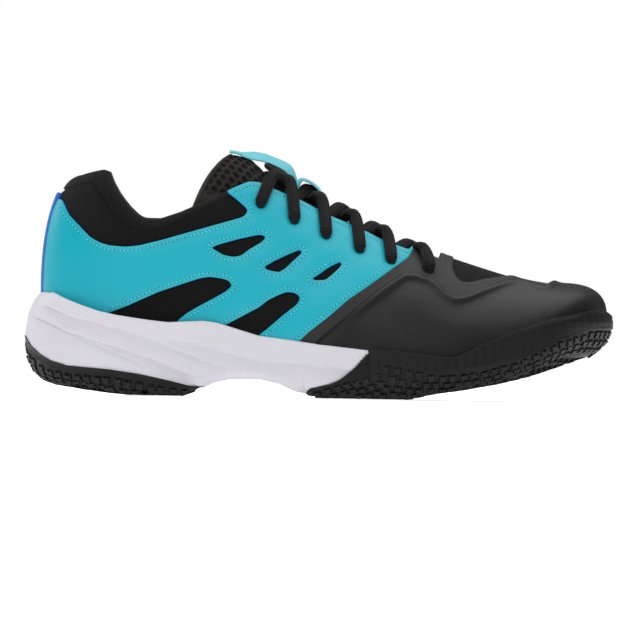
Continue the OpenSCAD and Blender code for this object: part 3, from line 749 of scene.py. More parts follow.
class Tree:
    """Short ways to add nodes to a node tree."""

    def __init__(self, tree: ShaderTree) -> None:
        """Keeps the tree."""
        self.tree = tree

    def add(self, kind: str, inputs: dict | None = None, **settings: object) -> bpy.types.Node:
        """Adds a node, gives it its settings, and fills or links its inputs.

        Args:
            kind: Type of the node, without the ShaderNode prefix.
            inputs: Values or sockets by the input's name or number.
            settings: Properties of the node.

        Returns:
            The node.
        """
        node = self.tree.nodes.new(kind if kind.startswith("Node") else "ShaderNode" + kind)
        for key, value in settings.items():
            setattr(node, key, value)
        for key, value in (inputs or {}).items():
            if isinstance(value, Socket):
                self.tree.links.new(value, node.inputs[key])
            else:
                node.inputs[key].default_value = value
        return node

    def link(self, source: Socket, node: bpy.types.Node, name: str) -> None:
        """Links a socket to a node's named input."""
        self.tree.links.new(source, node.inputs[name])

    def math(self, operation: str, a: object, b: object = 0.0, c: object = 0.0) -> Socket:
        """Output of a Math node on up to three values or sockets."""
        return self.add("Math", {0: a, 1: b, 2: c}, operation=operation).outputs[0]

    def times(self, a: object, b: object) -> Socket:
        """Product of two values or sockets."""
        return self.math("MULTIPLY", a, b)

    def plus(self, a: object, b: object) -> Socket:
        """Sum of two values or sockets."""
        return self.math("ADD", a, b)

    def mix(self, factor: object, a: object, b: object) -> Socket:
        """Colour between a and b."""
        node = self.add("Mix", {"Factor": factor}, data_type="RGBA")
        for socket, value in ((node.inputs[6], a), (node.inputs[7], b)):
            if isinstance(value, Socket):
                self.tree.links.new(value, socket)
            else:
                socket.default_value = value
        return node.outputs[2]

    def ramp(self, factor: object, low: float, high: float, to_low: float = 0.0, to_high: float = 1.0) -> Socket:
        """Value carried from one range to another, held at its ends."""
        node = self.add("MapRange", {0: factor, 1: low, 2: high, 3: to_low, 4: to_high})
        return node.outputs[0]


class Groups:
    """The effects that more than one finish uses, each a node group built once."""

    made: dict[str, ShaderTree] = {}

    @classmethod
    def get(cls, name: str) -> ShaderTree:
        """The group of that name, built when it is first asked for."""
        if name not in cls.made:
            cls.made[name] = getattr(cls, name)()
        return cls.made[name]

    @staticmethod
    def start(
        name: str, inputs: dict[str, tuple[str, object]], outputs: Sequence[str]
    ) -> tuple[Tree, dict, bpy.types.Node]:
        """Makes a group with its sockets.

        Args:
            name: Name of the group.
            inputs: Kind of socket and first value by name.
            outputs: Names of the outputs, all of them numbers.

        Returns:
            Its tree, its input sockets by name, and its output node.
        """
        group = bpy.data.node_groups.new(name, "ShaderNodeTree")
        for key, (kind, value) in inputs.items():
            socket = group.interface.new_socket(key, in_out="INPUT", socket_type="NodeSocket" + kind)
            if kind == "Float":
                socket.default_value = value
        for key in outputs:
            group.interface.new_socket(key, in_out="OUTPUT", socket_type="NodeSocketFloat")
        tree = Tree(group)
        begin = tree.add("NodeGroupInput")
        return tree, {k: begin.outputs[k] for k in inputs}, tree.add("NodeGroupOutput")

    @staticmethod
    def knit() -> ShaderTree:
        """Knitted cloth: rows of V-shaped loops, the height of one loop repeated along both axes."""
        tree, given, end = Groups.start(
            "knit", {"Vector": ("Vector", None), "Rows": ("Float", 100.0), "Uneven": ("Float", 0.4)},
            ("Height", "Gap"),
        )
        wobble = tree.add("TexNoise", {"Vector": given["Vector"], "Scale": 6.0, "Detail": 2.0}).outputs[0]
        parts = tree.add("SeparateXYZ", {0: given["Vector"]})
        x = tree.times(parts.outputs[0], given["Rows"])
        y = tree.times(parts.outputs[1], given["Rows"])
        bend = tree.times(tree.math("SUBTRACT", wobble, 0.5), tree.times(given["Uneven"], 6.0))
        x = tree.plus(x, bend)
        column = tree.math("ABSOLUTE", tree.math("SUBTRACT", tree.math("FRACT", x), 0.5))
        shifted = tree.plus(tree.times(y, 1.35), tree.times(column, 1.1))
        loop = tree.math("ABSOLUTE", tree.math("SUBTRACT", tree.math("FRACT", shifted), 0.5))
        groove = tree.ramp(column, 0.0, 0.16)
        edge = tree.ramp(column, 0.5, 0.36)
        bead = tree.math("SQRT", tree.ramp(loop, 0.5, 0.08))
        height = tree.times(tree.times(bead, groove), edge)
        tree.link(height, end, "Height")
        # Gap is 1 in the low parts between the loops, where the finish paints shade into the colour.
        tree.link(tree.ramp(height, 0.45, 0.05), end, "Gap")
        return tree.tree

    @staticmethod
    def weave() -> ShaderTree:
        """Plain weave: two sets of threads, each the arch of a sine, over and under in a chequer."""
        tree, given, end = Groups.start(
            "weave", {"Vector": ("Vector", None), "Threads": ("Float", 100.0)}, ("Height", "Gap")
        )
        parts = tree.add("SeparateXYZ", {0: given["Vector"]})
        turn = 2 * math.pi
        x = tree.times(tree.times(parts.outputs[0], given["Threads"]), turn)
        y = tree.times(tree.times(parts.outputs[1], given["Threads"]), turn)
        across = tree.times(tree.math("SINE", x), tree.math("SINE", y))
        ridge = tree.times(tree.math("ABSOLUTE", tree.math("SINE", x)), tree.math("ABSOLUTE", tree.math("SINE", y)))
        height = tree.math("MULTIPLY_ADD", across, 0.35, ridge)
        tree.link(height, end, "Height")
        # Gap is 1 where the threads dip, where the finish paints shade into the colour.
        tree.link(tree.ramp(ridge, 0.25, 0.0), end, "Gap")
        return tree.tree

    @staticmethod
    def grain() -> ShaderTree:
        """Fine grain of a coated skin: small cells with finer noise over them."""
        tree, given, end = Groups.start(
            "grain", {"Vector": ("Vector", None), "Cells": ("Float", 1800.0)}, ("Height",)
        )
        cells = tree.add("TexVoronoi", {"Vector": given["Vector"], "Scale": given["Cells"]}, feature="F1").outputs[0]
        fine = tree.add("TexNoise", {"Vector": given["Vector"], "Scale": given["Cells"], "Detail": 1.0}).outputs[0]
        height = tree.plus(tree.times(cells, 0.6), tree.times(fine, 0.4))
        tree.link(height, end, "Height")
        return tree.tree

    @staticmethod
    def honeycomb() -> ShaderTree:
        """Pressed honeycomb: distance from the nearest of two shifted square grids of centres."""
        tree, given, end = Groups.start(
            "honeycomb", {"Vector": ("Vector", None), "Cells": ("Float", 15.0)}, ("Height",)
        )
        parts = tree.add("SeparateXYZ", {0: given["Vector"]})
        x = tree.times(parts.outputs[0], given["Cells"])
        y = tree.times(tree.times(parts.outputs[1], given["Cells"]), 0.577)

        def reach(dx: float, dy: float) -> Socket:
            """Distance to the nearest centre of one grid."""
            a = tree.math("SUBTRACT", tree.math("FRACT", tree.plus(x, dx)), 0.5)
            b = tree.times(tree.math("SUBTRACT", tree.math("FRACT", tree.plus(y, dy)), 0.5), 1.732)
            return tree.math("SQRT", tree.plus(tree.times(a, a), tree.times(b, b)))

        near = tree.math("MINIMUM", reach(0, 0), reach(0.5, 0.5))
        tree.link(tree.ramp(near, 0.56, 0.38), end, "Height")
        return tree.tree


Colour = tuple[float, float, float]


@dataclass(frozen=True)
class Finish:
    """Look of one material: a Principled shader whose colour and height come from a pattern.

    Attributes:
        name: Name of the material.
        colour: Main colour, linear.
        dark: Colour of the stains, and of the painted shade in the pattern's gaps.
        roughness: Roughness between the patterns' changes.
        pattern: Name of the group that gives the height, or "" for none.
        scale: The pattern's repeats in each unit of its coordinates.
        depth: Distance of the bump, in millimetres.
        use_uv: Whether the pattern follows the surface's own UV map.
        sheen: Weight of the cloth's sheen.
        coat: Weight of a clear coat.
        patch: How much broad noise changes the colour.
        turn: Turn of the pattern, in degrees.
        stretch: Scale of the pattern along each axis.
        specular: Strength of the surface's own reflection.
        glow: Light that the surface gives by itself.
        glow_seen: The same where the camera sees it directly.
        mark: Attribute where the colour is painted near black as shade, full where it is 1, or "".
        made: The material once it is built.
    """

    name: str
    colour: Colour
    dark: Colour | None = None
    roughness: float = 0.6
    pattern: str = "grain"
    scale: float = 1500.0
    depth: float = 0.05
    use_uv: bool = False
    sheen: float = 0.0
    coat: float = 0.0
    patch: float = 0.15
    turn: float = 0.0
    stretch: tuple[float, float, float] = (1.0, 1.0, 1.0)
    specular: float = 0.5
    glow: float = 0.0
    glow_seen: float = 0.9
    mark: str = ""
    made: dict = field(default_factory=dict, compare=False, repr=False)

    def material(self) -> bpy.types.Material:
        """The material, built once."""
        if "it" not in self.made:
            self.made["it"] = self.build()
        return self.made["it"]

    def build(self) -> bpy.types.Material:
        """Makes the material's nodes.

        Returns:
            The new material.
        """
        material = bpy.data.materials.new(self.name)
        material.use_nodes = True
        material.node_tree.nodes.clear()
        tree = Tree(material.node_tree)
        coords = tree.add("TexCoord").outputs["UV" if self.use_uv else "Object"]
        turn = (0, 0, math.radians(self.turn))
        place = tree.add("Mapping", {0: coords, "Rotation": turn, "Scale": self.stretch}).outputs[0]
        whole = tree.add("TexCoord").outputs["Object"]
        noise = tree.add("TexNoise", {"Vector": whole, "Scale": 28.0, "Detail": 5.0}).outputs[0]
        main, dark = (*self.colour, 1.0), (*(self.dark or tuple(0.45 * c for c in self.colour)), 1.0)
        stain = tree.times(tree.ramp(noise, 0.35, 0.75), self.patch)
        colour = tree.mix(stain, main, dark)
        rough = tree.ramp(noise, 0.3, 0.7, self.roughness - 0.05, self.roughness + 0.05)
        height = None
        if self.pattern:
            group = tree.add("Group", node_tree=Groups.get(self.pattern))
            tree.link(place, group, "Vector")
            group.inputs[1].default_value = self.scale
            height = group.outputs["Height"]
            # Painted shade: the colour goes towards dark in the low gaps between threads or loops, where shade falls.
            if "Gap" in group.outputs:
                colour = tree.mix(tree.times(group.outputs["Gap"], 0.75), colour, dark)
        if self.mark:
            # Painted shade: near black where the mark is full, as inside the tongue's holes.
            shade_mask = tree.add("Attribute", attribute_name=self.mark).outputs["Fac"]
            colour = tree.mix(tree.ramp(shade_mask, 0.3, 0.6), colour, (*(0.08 * c for c in self.colour), 1.0))
        shader = tree.add("BsdfPrincipled", {"Base Color": colour, "Roughness": rough})
        if self.glow:
            shader.inputs["Emission Color"].default_value = main
            seen = tree.add("LightPath").outputs["Is Camera Ray"]
            tree.link(tree.ramp(seen, 0.0, 1.0, self.glow, self.glow_seen), shader, "Emission Strength")
        constants = {
            "Sheen Weight": self.sheen, "Sheen Roughness": 0.45, "Coat Weight": self.coat, "Coat Roughness": 0.35,
            "Specular IOR Level": self.specular,
        }
        for name, value in constants.items():
            shader.inputs[name].default_value = value
        if height is not None:
            bump = tree.add("Bump", {"Height": height, "Strength": 1.0, "Distance": self.depth * MM})
            tree.link(bump.outputs[0], shader, "Normal")
        tree.link(shader.outputs[0], tree.add("OutputMaterial"), "Surface")
        return material


class Finishes:
    """Every finish on the shoe."""

    cyan = Finish(
        "cyan_synthetic", (0.0, 0.4, 0.5), (0.0, 0.3, 0.4), 0.4, scale=1600.0, depth=0.03, patch=0.2, specular=0.4,
    )
    blue = Finish("blue_cut_edge", (0.0, 0.12, 0.55), None, 0.5, depth=0.02)
    mesh = Finish(
        "black_knit", (0.0055, 0.005, 0.0055), (0.0015, 0.002, 0.002), 0.85, "knit", 10.0, 0.3, True, 0.05, patch=0.3,
        specular=0.15,
    )
    lining = Finish(
        "black_lining_knit", (0.009, 0.0075, 0.0075), (0.002, 0.003, 0.003), 0.9, "knit", 8.0, 0.3, True, 0.06,
        specular=0.15,
    )
    film = Finish(
        "grey_woven_film", (0.02, 0.019, 0.0195), (0.008, 0.008, 0.008), 0.55, "weave", 5.0, 0.1, True, turn=8,
        specular=0.35,
    )
    toe = Finish(
        "black_toe_film", (0.0045, 0.0045, 0.005), (0.003, 0.003, 0.0035), 0.44, "honeycomb", 2.2, 0.03, True,
        patch=0.5, specular=0.3,
    )
    foam_white = Finish(
        "white_moulded_foam", (0.7, 0.68, 0.73), (0.5, 0.48, 0.54), 0.6, "weave", 5.5, 0.07, True, patch=0.1,
        specular=0.3,
    )
    rubber = Finish(
        "black_rubber", (0.003, 0.0032, 0.0035), (0.002, 0.002, 0.002), 0.45, "weave", 7.0, 0.06, True,
        stretch=(0.15, 1, 1), patch=0.4, specular=0.25,
    )
    lug = Finish(
        "rubber_lugs", (0.007, 0.0065, 0.0075), (0.003, 0.003, 0.0035), 0.5, scale=900.0, depth=0.08, patch=0.5,
        specular=0.3,
    )
    lace = Finish(
        "black_woven_lace", (0.007, 0.006, 0.006), (0.002, 0.002, 0.002), 0.82, "weave", 10.0, 0.3, True, 0.08,
        stretch=(0.8, 0.3, 1.0), specular=0.2,
    )
    webbing = Finish("light_cyan_webbing", (0.13, 0.62, 0.70), (0.03, 0.33, 0.42), 0.6, "weave", 10.0, 0.14, True, 0.2)
    # Its hole mark paints the tongue's dimples near black as shade.
    tongue = Finish(
        "brown_black_mesh", (0.024, 0.018, 0.017), (0.008, 0.006, 0.006), 0.75, "weave", 14.0, 0.12, True, 0.1,
        specular=0.2, mark="hole",
    )
    thread_cyan = Finish("cyan_thread", (0.12, 0.66, 0.74), None, 0.6, "weave", 400.0, 0.05)
    thread_black = Finish("black_thread", (0.01, 0.01, 0.01), None, 0.7, "weave", 400.0, 0.05)
    # Dark teal dots for the needle holes between the stitches: painted shade.
    needle_hole_shade = Finish("needle_hole_shade", (0.0, 0.05, 0.07), None, 0.9, scale=2000.0, depth=0.02)
    board = Finish("fibre_board", (0.62, 0.58, 0.44), (0.4, 0.36, 0.26), 0.9, scale=700.0, depth=0.1, patch=0.5)
    shank = Finish("grey_moulded_plate", (0.06, 0.065, 0.075), None, 0.45, "weave", 300.0, 0.1)
    gel = Finish("blue_cushion", (0.02, 0.12, 0.55), (0.01, 0.05, 0.3), 0.3, "honeycomb", 130.0, 0.3, coat=0.3)
    stiffener = Finish("stiffener_sheet", (0.48, 0.45, 0.36), None, 0.75, scale=600.0, depth=0.08)
    backing = Finish("backing_tape", (0.02, 0.02, 0.022), None, 0.85, "weave", 700.0, 0.1)
    insole = Finish("insole_foam", (0.02, 0.022, 0.03), None, 0.9, scale=900.0, depth=0.15)
    insole_cloth = Finish(
        "insole_cloth", (0.03, 0.034, 0.042), (0.01, 0.011, 0.014), 0.95, "knit", 900.0, 0.15, sheen=0.3,
    )
    aglet = Finish("aglet_film", (0.01, 0.01, 0.012), None, 0.2, "", coat=0.5)
    floor = Finish(
        "pale_floor", (0.9, 0.9, 0.9), (0.88, 0.88, 0.88), 0.85, scale=40.0, depth=0.01, patch=0.05, specular=0.1,
        glow=0.4,
    )


# --- shared shapes


def slab(face: Array, back: Array, around: bool = False) -> Surface:
    """Closed surface between two grids of points of the same size.

    Args:
        face: Outer grid, n by m by 3.
        back: Inner grid.
        around: Whether the first axis closes on itself.

    Returns:
        Face, back turned round, and the edges between them.
    """
    surface = grid_surface(face, around)
    k = len(surface.points)
    faces = surface.faces[0]
    points = np.vstack([surface.points, back.reshape(-1, 3)])
    layers = [faces, faces[:, ::-1] + k, rim_faces([faces], k)]
    return Surface(points, layers, uv=np.vstack([surface.uv, surface.uv]))


def copies(template: Surface, at: Array, frames: Array) -> Surface:
    """One small shape repeated: each copy's points are its place plus the template times its frame.

    Args:
        template: The shape, about the origin.
        at: Places, n by 3.
        frames: For each place the directions of the template's three axes, n by 3 by 3.

    Returns:
        All the copies as one surface.
    """
    template = outward(template)
    n, k = len(at), len(template.points)
    points = at[:, None] + np.einsum("ki,nij->nkj", template.points, frames)
    shift = np.arange(n)[:, None, None] * k
    faces = [(f[None] + shift).reshape(-1, f.shape[1]) for f in template.faces]
    slots = [np.tile(s, n) for s in template.filled_slots()]
    uv = np.tile(template.points[:, :2] * 0.1, (n, 1))
    return Surface(points.reshape(-1, 3), faces, slots, uv)


def rice(length: float, width: float, height: float, sides: int = 6) -> Surface:
    """A stitch: a short rounded thread, its section swelling from nothing to full and back."""
    x = np.array([-0.5, -0.38, 0.0, 0.38, 0.5]) * length
    grow = np.array([0.25, 0.85, 1.0, 0.85, 0.25])
    t = np.linspace(0, 2 * math.pi, sides, endpoint=False)
    y, z = np.outer(grow, 0.5 * width * np.cos(t)), np.outer(grow, height * np.sin(t))
    points = np.stack([np.repeat(x, sides), y.ravel(), z.ravel()], 1)
    ring = np.arange(sides)
    caps = [ring[::-1][None], ring[None] + 4 * sides]
    return Surface(points, [grid_faces(5, sides, across=True)[:, ::-1], *caps])


def prism(outline: Points, low: float, high: float, draft: float = 1.0) -> Surface:
    """A flat outline made solid between two heights, its top scaled by the draft."""
    flat = np.asarray(outline, float)
    n = len(flat)
    points = np.vstack([np.c_[flat, np.full(n, low)], np.c_[flat * draft, np.full(n, high)]])
    ring = np.arange(n)
    after = np.roll(ring, -1)
    return Surface(points, [np.stack([ring, after, after + n, ring + n], 1), ring[::-1][None], ring[None] + n])


def frames_on_last(u: Array, s: Array, ahead: Array) -> Array:
    """Frames on the last: the way ahead laid flat on it, the way across, and its normal."""
    n = LAST.normal(u, s)
    a = unit(ahead - (ahead * n).sum(1, keepdims=True) * n)
    return np.stack([a, np.cross(n, a), n], 1)


def place_piece(piece: Piece, body: Body | None, slot: str, *nodes: str) -> Piece:
    """Says which body a piece rides on, if one, and which nodes it stands for."""
    if body:
        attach(piece, body.value)
    if nodes:
        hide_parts(*nodes)
    LOG.info("%s: %d faces", piece.name, len(piece.data.polygons))
    return piece


def add_piece(
    name: str,
    surface: Surface,
    finishes: Sequence[Finish],
    slot: str,
    *nodes: str,
    weld: float = 0.0,
    sharp: float | None = 38,
    body: Body = Body.SHOE,
) -> Piece:
    """Builds a piece as build does, and places it as place_piece does."""
    return place_piece(build(name, surface, finishes, weld, sharp), body, slot, *nodes)


def hang_between(
    piece: Piece, slot: str, nodes: Sequence[str]
) -> None:
    """Bakes a half piece's place into its points and hides the parts that it stands for.

    Args:
        piece: The half piece.
        slot: Not used.
        nodes: Parts that it stands for.
    """
    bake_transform(piece)
    place_piece(piece, None, slot, *nodes)


# --- upper


@dataclass
class Upper:
    """The upper's skin: meshes, films, overlays, and the strip up the heel."""

    mesh_depth: float = 1.3
    mesh_thickness: float = 1.4
    film_top: float = -0.55
    stitch_inset: float = 2.0
    stitch_pitch: float = 2.0
    strip_half: float = 5.0
    front_seam: Points = ((8, 5), (62, 85))

    def skin(self, shape: Field, u: tuple[float, float], s: tuple[float, float]) -> Sheet:
        """A sheet of mesh at its depth under the overlays."""
        top = -self.mesh_depth
        return Sheet(shape, lambda a, b, d: top - bevel(d, 0.5, 1.0), top - self.mesh_thickness, u, s)

    def seam_distance(self, x: Array, z: Array) -> Array:
        """Distance ahead of the slanted seam between the quarters' mesh and the vamp's."""
        (x0, z0), (x1, z1) = self.front_seam
        run = math.hypot(x1 - x0, z1 - z0)
        return ((x - x0) * (z1 - z0) - (z - z0) * (x1 - x0)) / run

    def quarter_mesh(self, side: Side) -> None:
        """The mesh on one side, from the heel to the vamp's seam, with the roll's outer cover."""
        s = (-1.0, -0.02) if side is Side.LATERAL else (0.02, 1.0)

        def shape(x: Array, y: Array, z: Array) -> Array:
            """Under the roll's line, behind the seam, and clear of the eyelets."""
            return np.maximum.reduce([z - Collar.line(x), self.seam_distance(x, z) + 0.2, clear_of_holes(x, y, z)])

        surface = self.skin(shape, (0.004, 11.5), s).surface().joined(Collar().cover(side))
        add_piece(f"quarter_mesh_{side.word}_knit", surface, [Finishes.mesh], "mesh_black", f"quarter_mesh_{side.word}")

    def vamp_mesh(self) -> None:
        """The mesh over the toes, bare in the window on the vamp."""

        def shape(x: Array, y: Array, z: Array) -> Array:
            """Ahead of the seam, and out of the throat."""
            return np.maximum(-self.seam_distance(x, z) + 0.2, clear_of_holes(x, y, z))

        sheet = self.skin(shape, (8.2, LAST.end), (-1, 1))
        add_piece("vamp_mesh_knit", sheet.surface(), [Finishes.mesh], "mesh_black", "vamp_mesh", weld=0.03)

    def vamp_film(self) -> None:
        """The woven film round the throat's front, its inner edge framing the mesh window."""

        def shape(x: Array, y: Array, z: Array) -> Array:
            """Inside the film's outline and out of the throat."""
            return np.maximum(outline_distance(x, z, Cut.film), clear_of_holes(x, y, z))

        def top(u: Array, s: Array, d: Array) -> Array:
            """Flat face with a slightly raised edge by the window."""
            return self.film_top + 0.25 * np.exp(-(((d + 1.2) / 0.9) ** 2)) - bevel(d, 0.35, 0.8)

        sheet = Sheet(shape, top, self.film_top - 0.75, (6.2, LAST.end), (-1, 1))
        add_piece("vamp_film_woven", sheet.surface(), [Finishes.film], "film_dark", "vamp_film", weld=0.03)

    def toe_overlay(self) -> None:
        """The smooth film round the toe: a rolled ridge follows its upper edge."""

        def shape(x: Array, y: Array, z: Array) -> Array:
            """Inside the toe's outline."""
            return outline_distance(x, z, Cut.toe)

        def top(u: Array, s: Array, d: Array) -> Array:
            """Ridge near the edge, and a shallow hollow behind it."""
            ridge = 1.05 * np.exp(-(((d + 1.9) / 1.5) ** 2))
            hollow = 0.1 * np.exp(-(((d + 6.0) / 2.0) ** 2))
            return 0.1 + ridge - hollow + 0.4 * ease(6, 16, -d) - bevel(d, 0.7, 1.6)

        sheet = Sheet(shape, top, -1.25, (6.4, LAST.end), (-1, 1), 1.15)
        add_piece("toe_overlay_film", sheet.surface(), [Finishes.toe], "toe_film", "toe_overlay", weld=0.03, sharp=50)

    def quarter_overlay(self, side: Side) -> None:
        """The cyan overlay of one side with its windows, eyelets and rows of stitches."""
        s = (-1.0, -0.03) if side is Side.LATERAL else (0.03, 1.0)
        cut_outs = [Cut.finger_rear, Cut.finger_front, *Cut.windows]

        def shape(x: Array, y: Array, z: Array) -> Array:
            """Inside the overlay's outline, outside its cut-outs and the way in."""
            inside = np.maximum(outline_distance(x, z, Cut.overlay), -Cut.holes(x, z, cut_outs))
            return np.maximum(inside, clear_of_holes(x, y, z))

        def top(u: Array, s: Array, d: Array) -> Array:
            """Slightly swollen away from its edges."""
            return 0.3 * ease(1.5, 7.0, -d) - bevel(d, 0.4, 0.9)

        sheet = Sheet(shape, top, -1.2, (0.004, 11.0), s, 1.2)
        add_piece(
            f"quarter_overlay_{side.word}_synthetic", sheet.surface(edge_slot=1), [Finishes.cyan, Finishes.blue],
            "leather_cyan", f"quarter_overlay_{side.word}",
        )
        self.stitches(side, shape, cut_outs)

    def stitches(self, side: Side, shape: Field, cut_outs: Sequence[Array]) -> None:
        """Rows of thread, and dark dots of painted shade for the needle holes, along every edge of a cyan overlay.

        A row is an outline moved inward by the inset. It is kept where its
        distance to the overlay's edge is still the inset.

        Args:
            side: Side of the shoe.
            shape: Distance to the overlay's edge.
            cut_outs: Outlines of the windows.
        """
        rows = []
        for outline, inward in [(Cut.overlay, 1), (Cut.over_edge, -1), *((c, -1) for c in cut_outs)]:
            line = evenly(outline, 0.5, closed=True)
            ahead = unit(np.roll(line, -2, 0) - np.roll(line, 2, 0))
            spin = np.sign(np.sum(line[:, 0] * np.roll(line[:, 1], -1) - np.roll(line[:, 0], -1) * line[:, 1]))
            moved = line + inward * spin * self.stitch_inset * np.stack([-ahead[:, 1], ahead[:, 0]], 1)
            away = -outline_distance(moved[:, 0], moved[:, 1], outline) * inward
            moved = moved[np.abs(away - self.stitch_inset) < 0.25]
            if len(moved) > 3:
                rows.append(evenly(moved, self.stitch_pitch, closed=True))
        xz = np.vstack(rows)
        ahead = np.vstack([np.roll(r, -1, 0) - np.roll(r, 1, 0) for r in rows])
        keep = norm(ahead, axis=1) < 3 * self.stitch_pitch
        keep &= xz[:, 1] > Sole.rim(xz[:, 0]) + 0.8
        xz, ahead = xz[keep], ahead[keep]
        u, s = LAST.place(xz, side)
        p = LAST.point(u, s)
        d = shape(p[:, 0], p[:, 1], p[:, 2])
        good = (norm(p[:, ::2] - xz, axis=1) < 0.4) & (d < -self.stitch_inset + 0.45)
        u, s, p, ahead = u[good], s[good], p[good], ahead[good]
        frames = frames_on_last(u, s, np.stack([ahead[:, 0], 0 * ahead[:, 0], ahead[:, 1]], 1))
        at = p + frames[:, 2] * 0.02
        thread = copies(rice(1.35, 0.5, 0.26), at, frames).in_slot(0)
        six = [(0.27 * math.cos(k * math.pi / 3), 0.27 * math.sin(k * math.pi / 3)) for k in range(6)]
        # The needle holes are small dark prisms set on the surface: painted shade, not holes cut in it.
        holes = copies(prism(six, -0.1, 0.07), at + frames[:, 0] * 0.5 * self.stitch_pitch, frames).in_slot(1)
        finishes = [Finishes.thread_cyan, Finishes.needle_hole_shade]
        add_piece(f"overlay_stitches_{side.word}", thread.joined(holes), finishes, "leather_cyan")

    def heel_strip(self) -> None:
        """The blue strip up the back of the heel, over the two overlays' ends."""

        def shape(x: Array, y: Array, z: Array) -> Array:
            """Near the middle plane, between the midsole and the top of the heel."""
            return np.maximum.reduce([np.abs(y) - self.strip_half, z - 101.0, x + 90, 22 - z])

        def top(u: Array, s: Array, d: Array) -> Array:
            """Face a little over the overlays, with a soft edge."""
            return 0.85 - bevel(d, 0.5, 1.0)

        halves = [Sheet(shape, top, -0.9, (0.0, 3.0), s, 1.0).surface() for s in ((-1.0, -0.1), (0.1, 1.0))]
        add_piece(
            "heel_strip_synthetic", halves[0].joined(halves[1]), [Finishes.blue], "leather_blue", "heel_strip",
            weld=0.05
        )

    def vamp_lining(self) -> None:
        """The lining inside the front half, seen through the way in."""

        def shape(x: Array, y: Array, z: Array) -> Array:
            """Ahead of the collar's lining and under the throat."""
            return np.maximum(-20 - x, 1.0 - Cut.opening(x, y, z))

        sheet = Sheet(shape, lambda u, s, d: np.full(u.shape, -3.9), -5.0, (5.5, LAST.end), (-1, 1), 2.4)
        add_piece("vamp_lining_knit", sheet.surface(), [Finishes.lining], "lining_black", "vamp_lining", weld=0.03)

    def make(self) -> None:
        """Builds every piece of the upper's skin."""
        for side in Side:
            self.quarter_mesh(side)
            self.quarter_overlay(side)
        self.vamp_mesh()
        self.vamp_film()
        self.toe_overlay()
        self.heel_strip()
        self.vamp_lining()


# --- collar


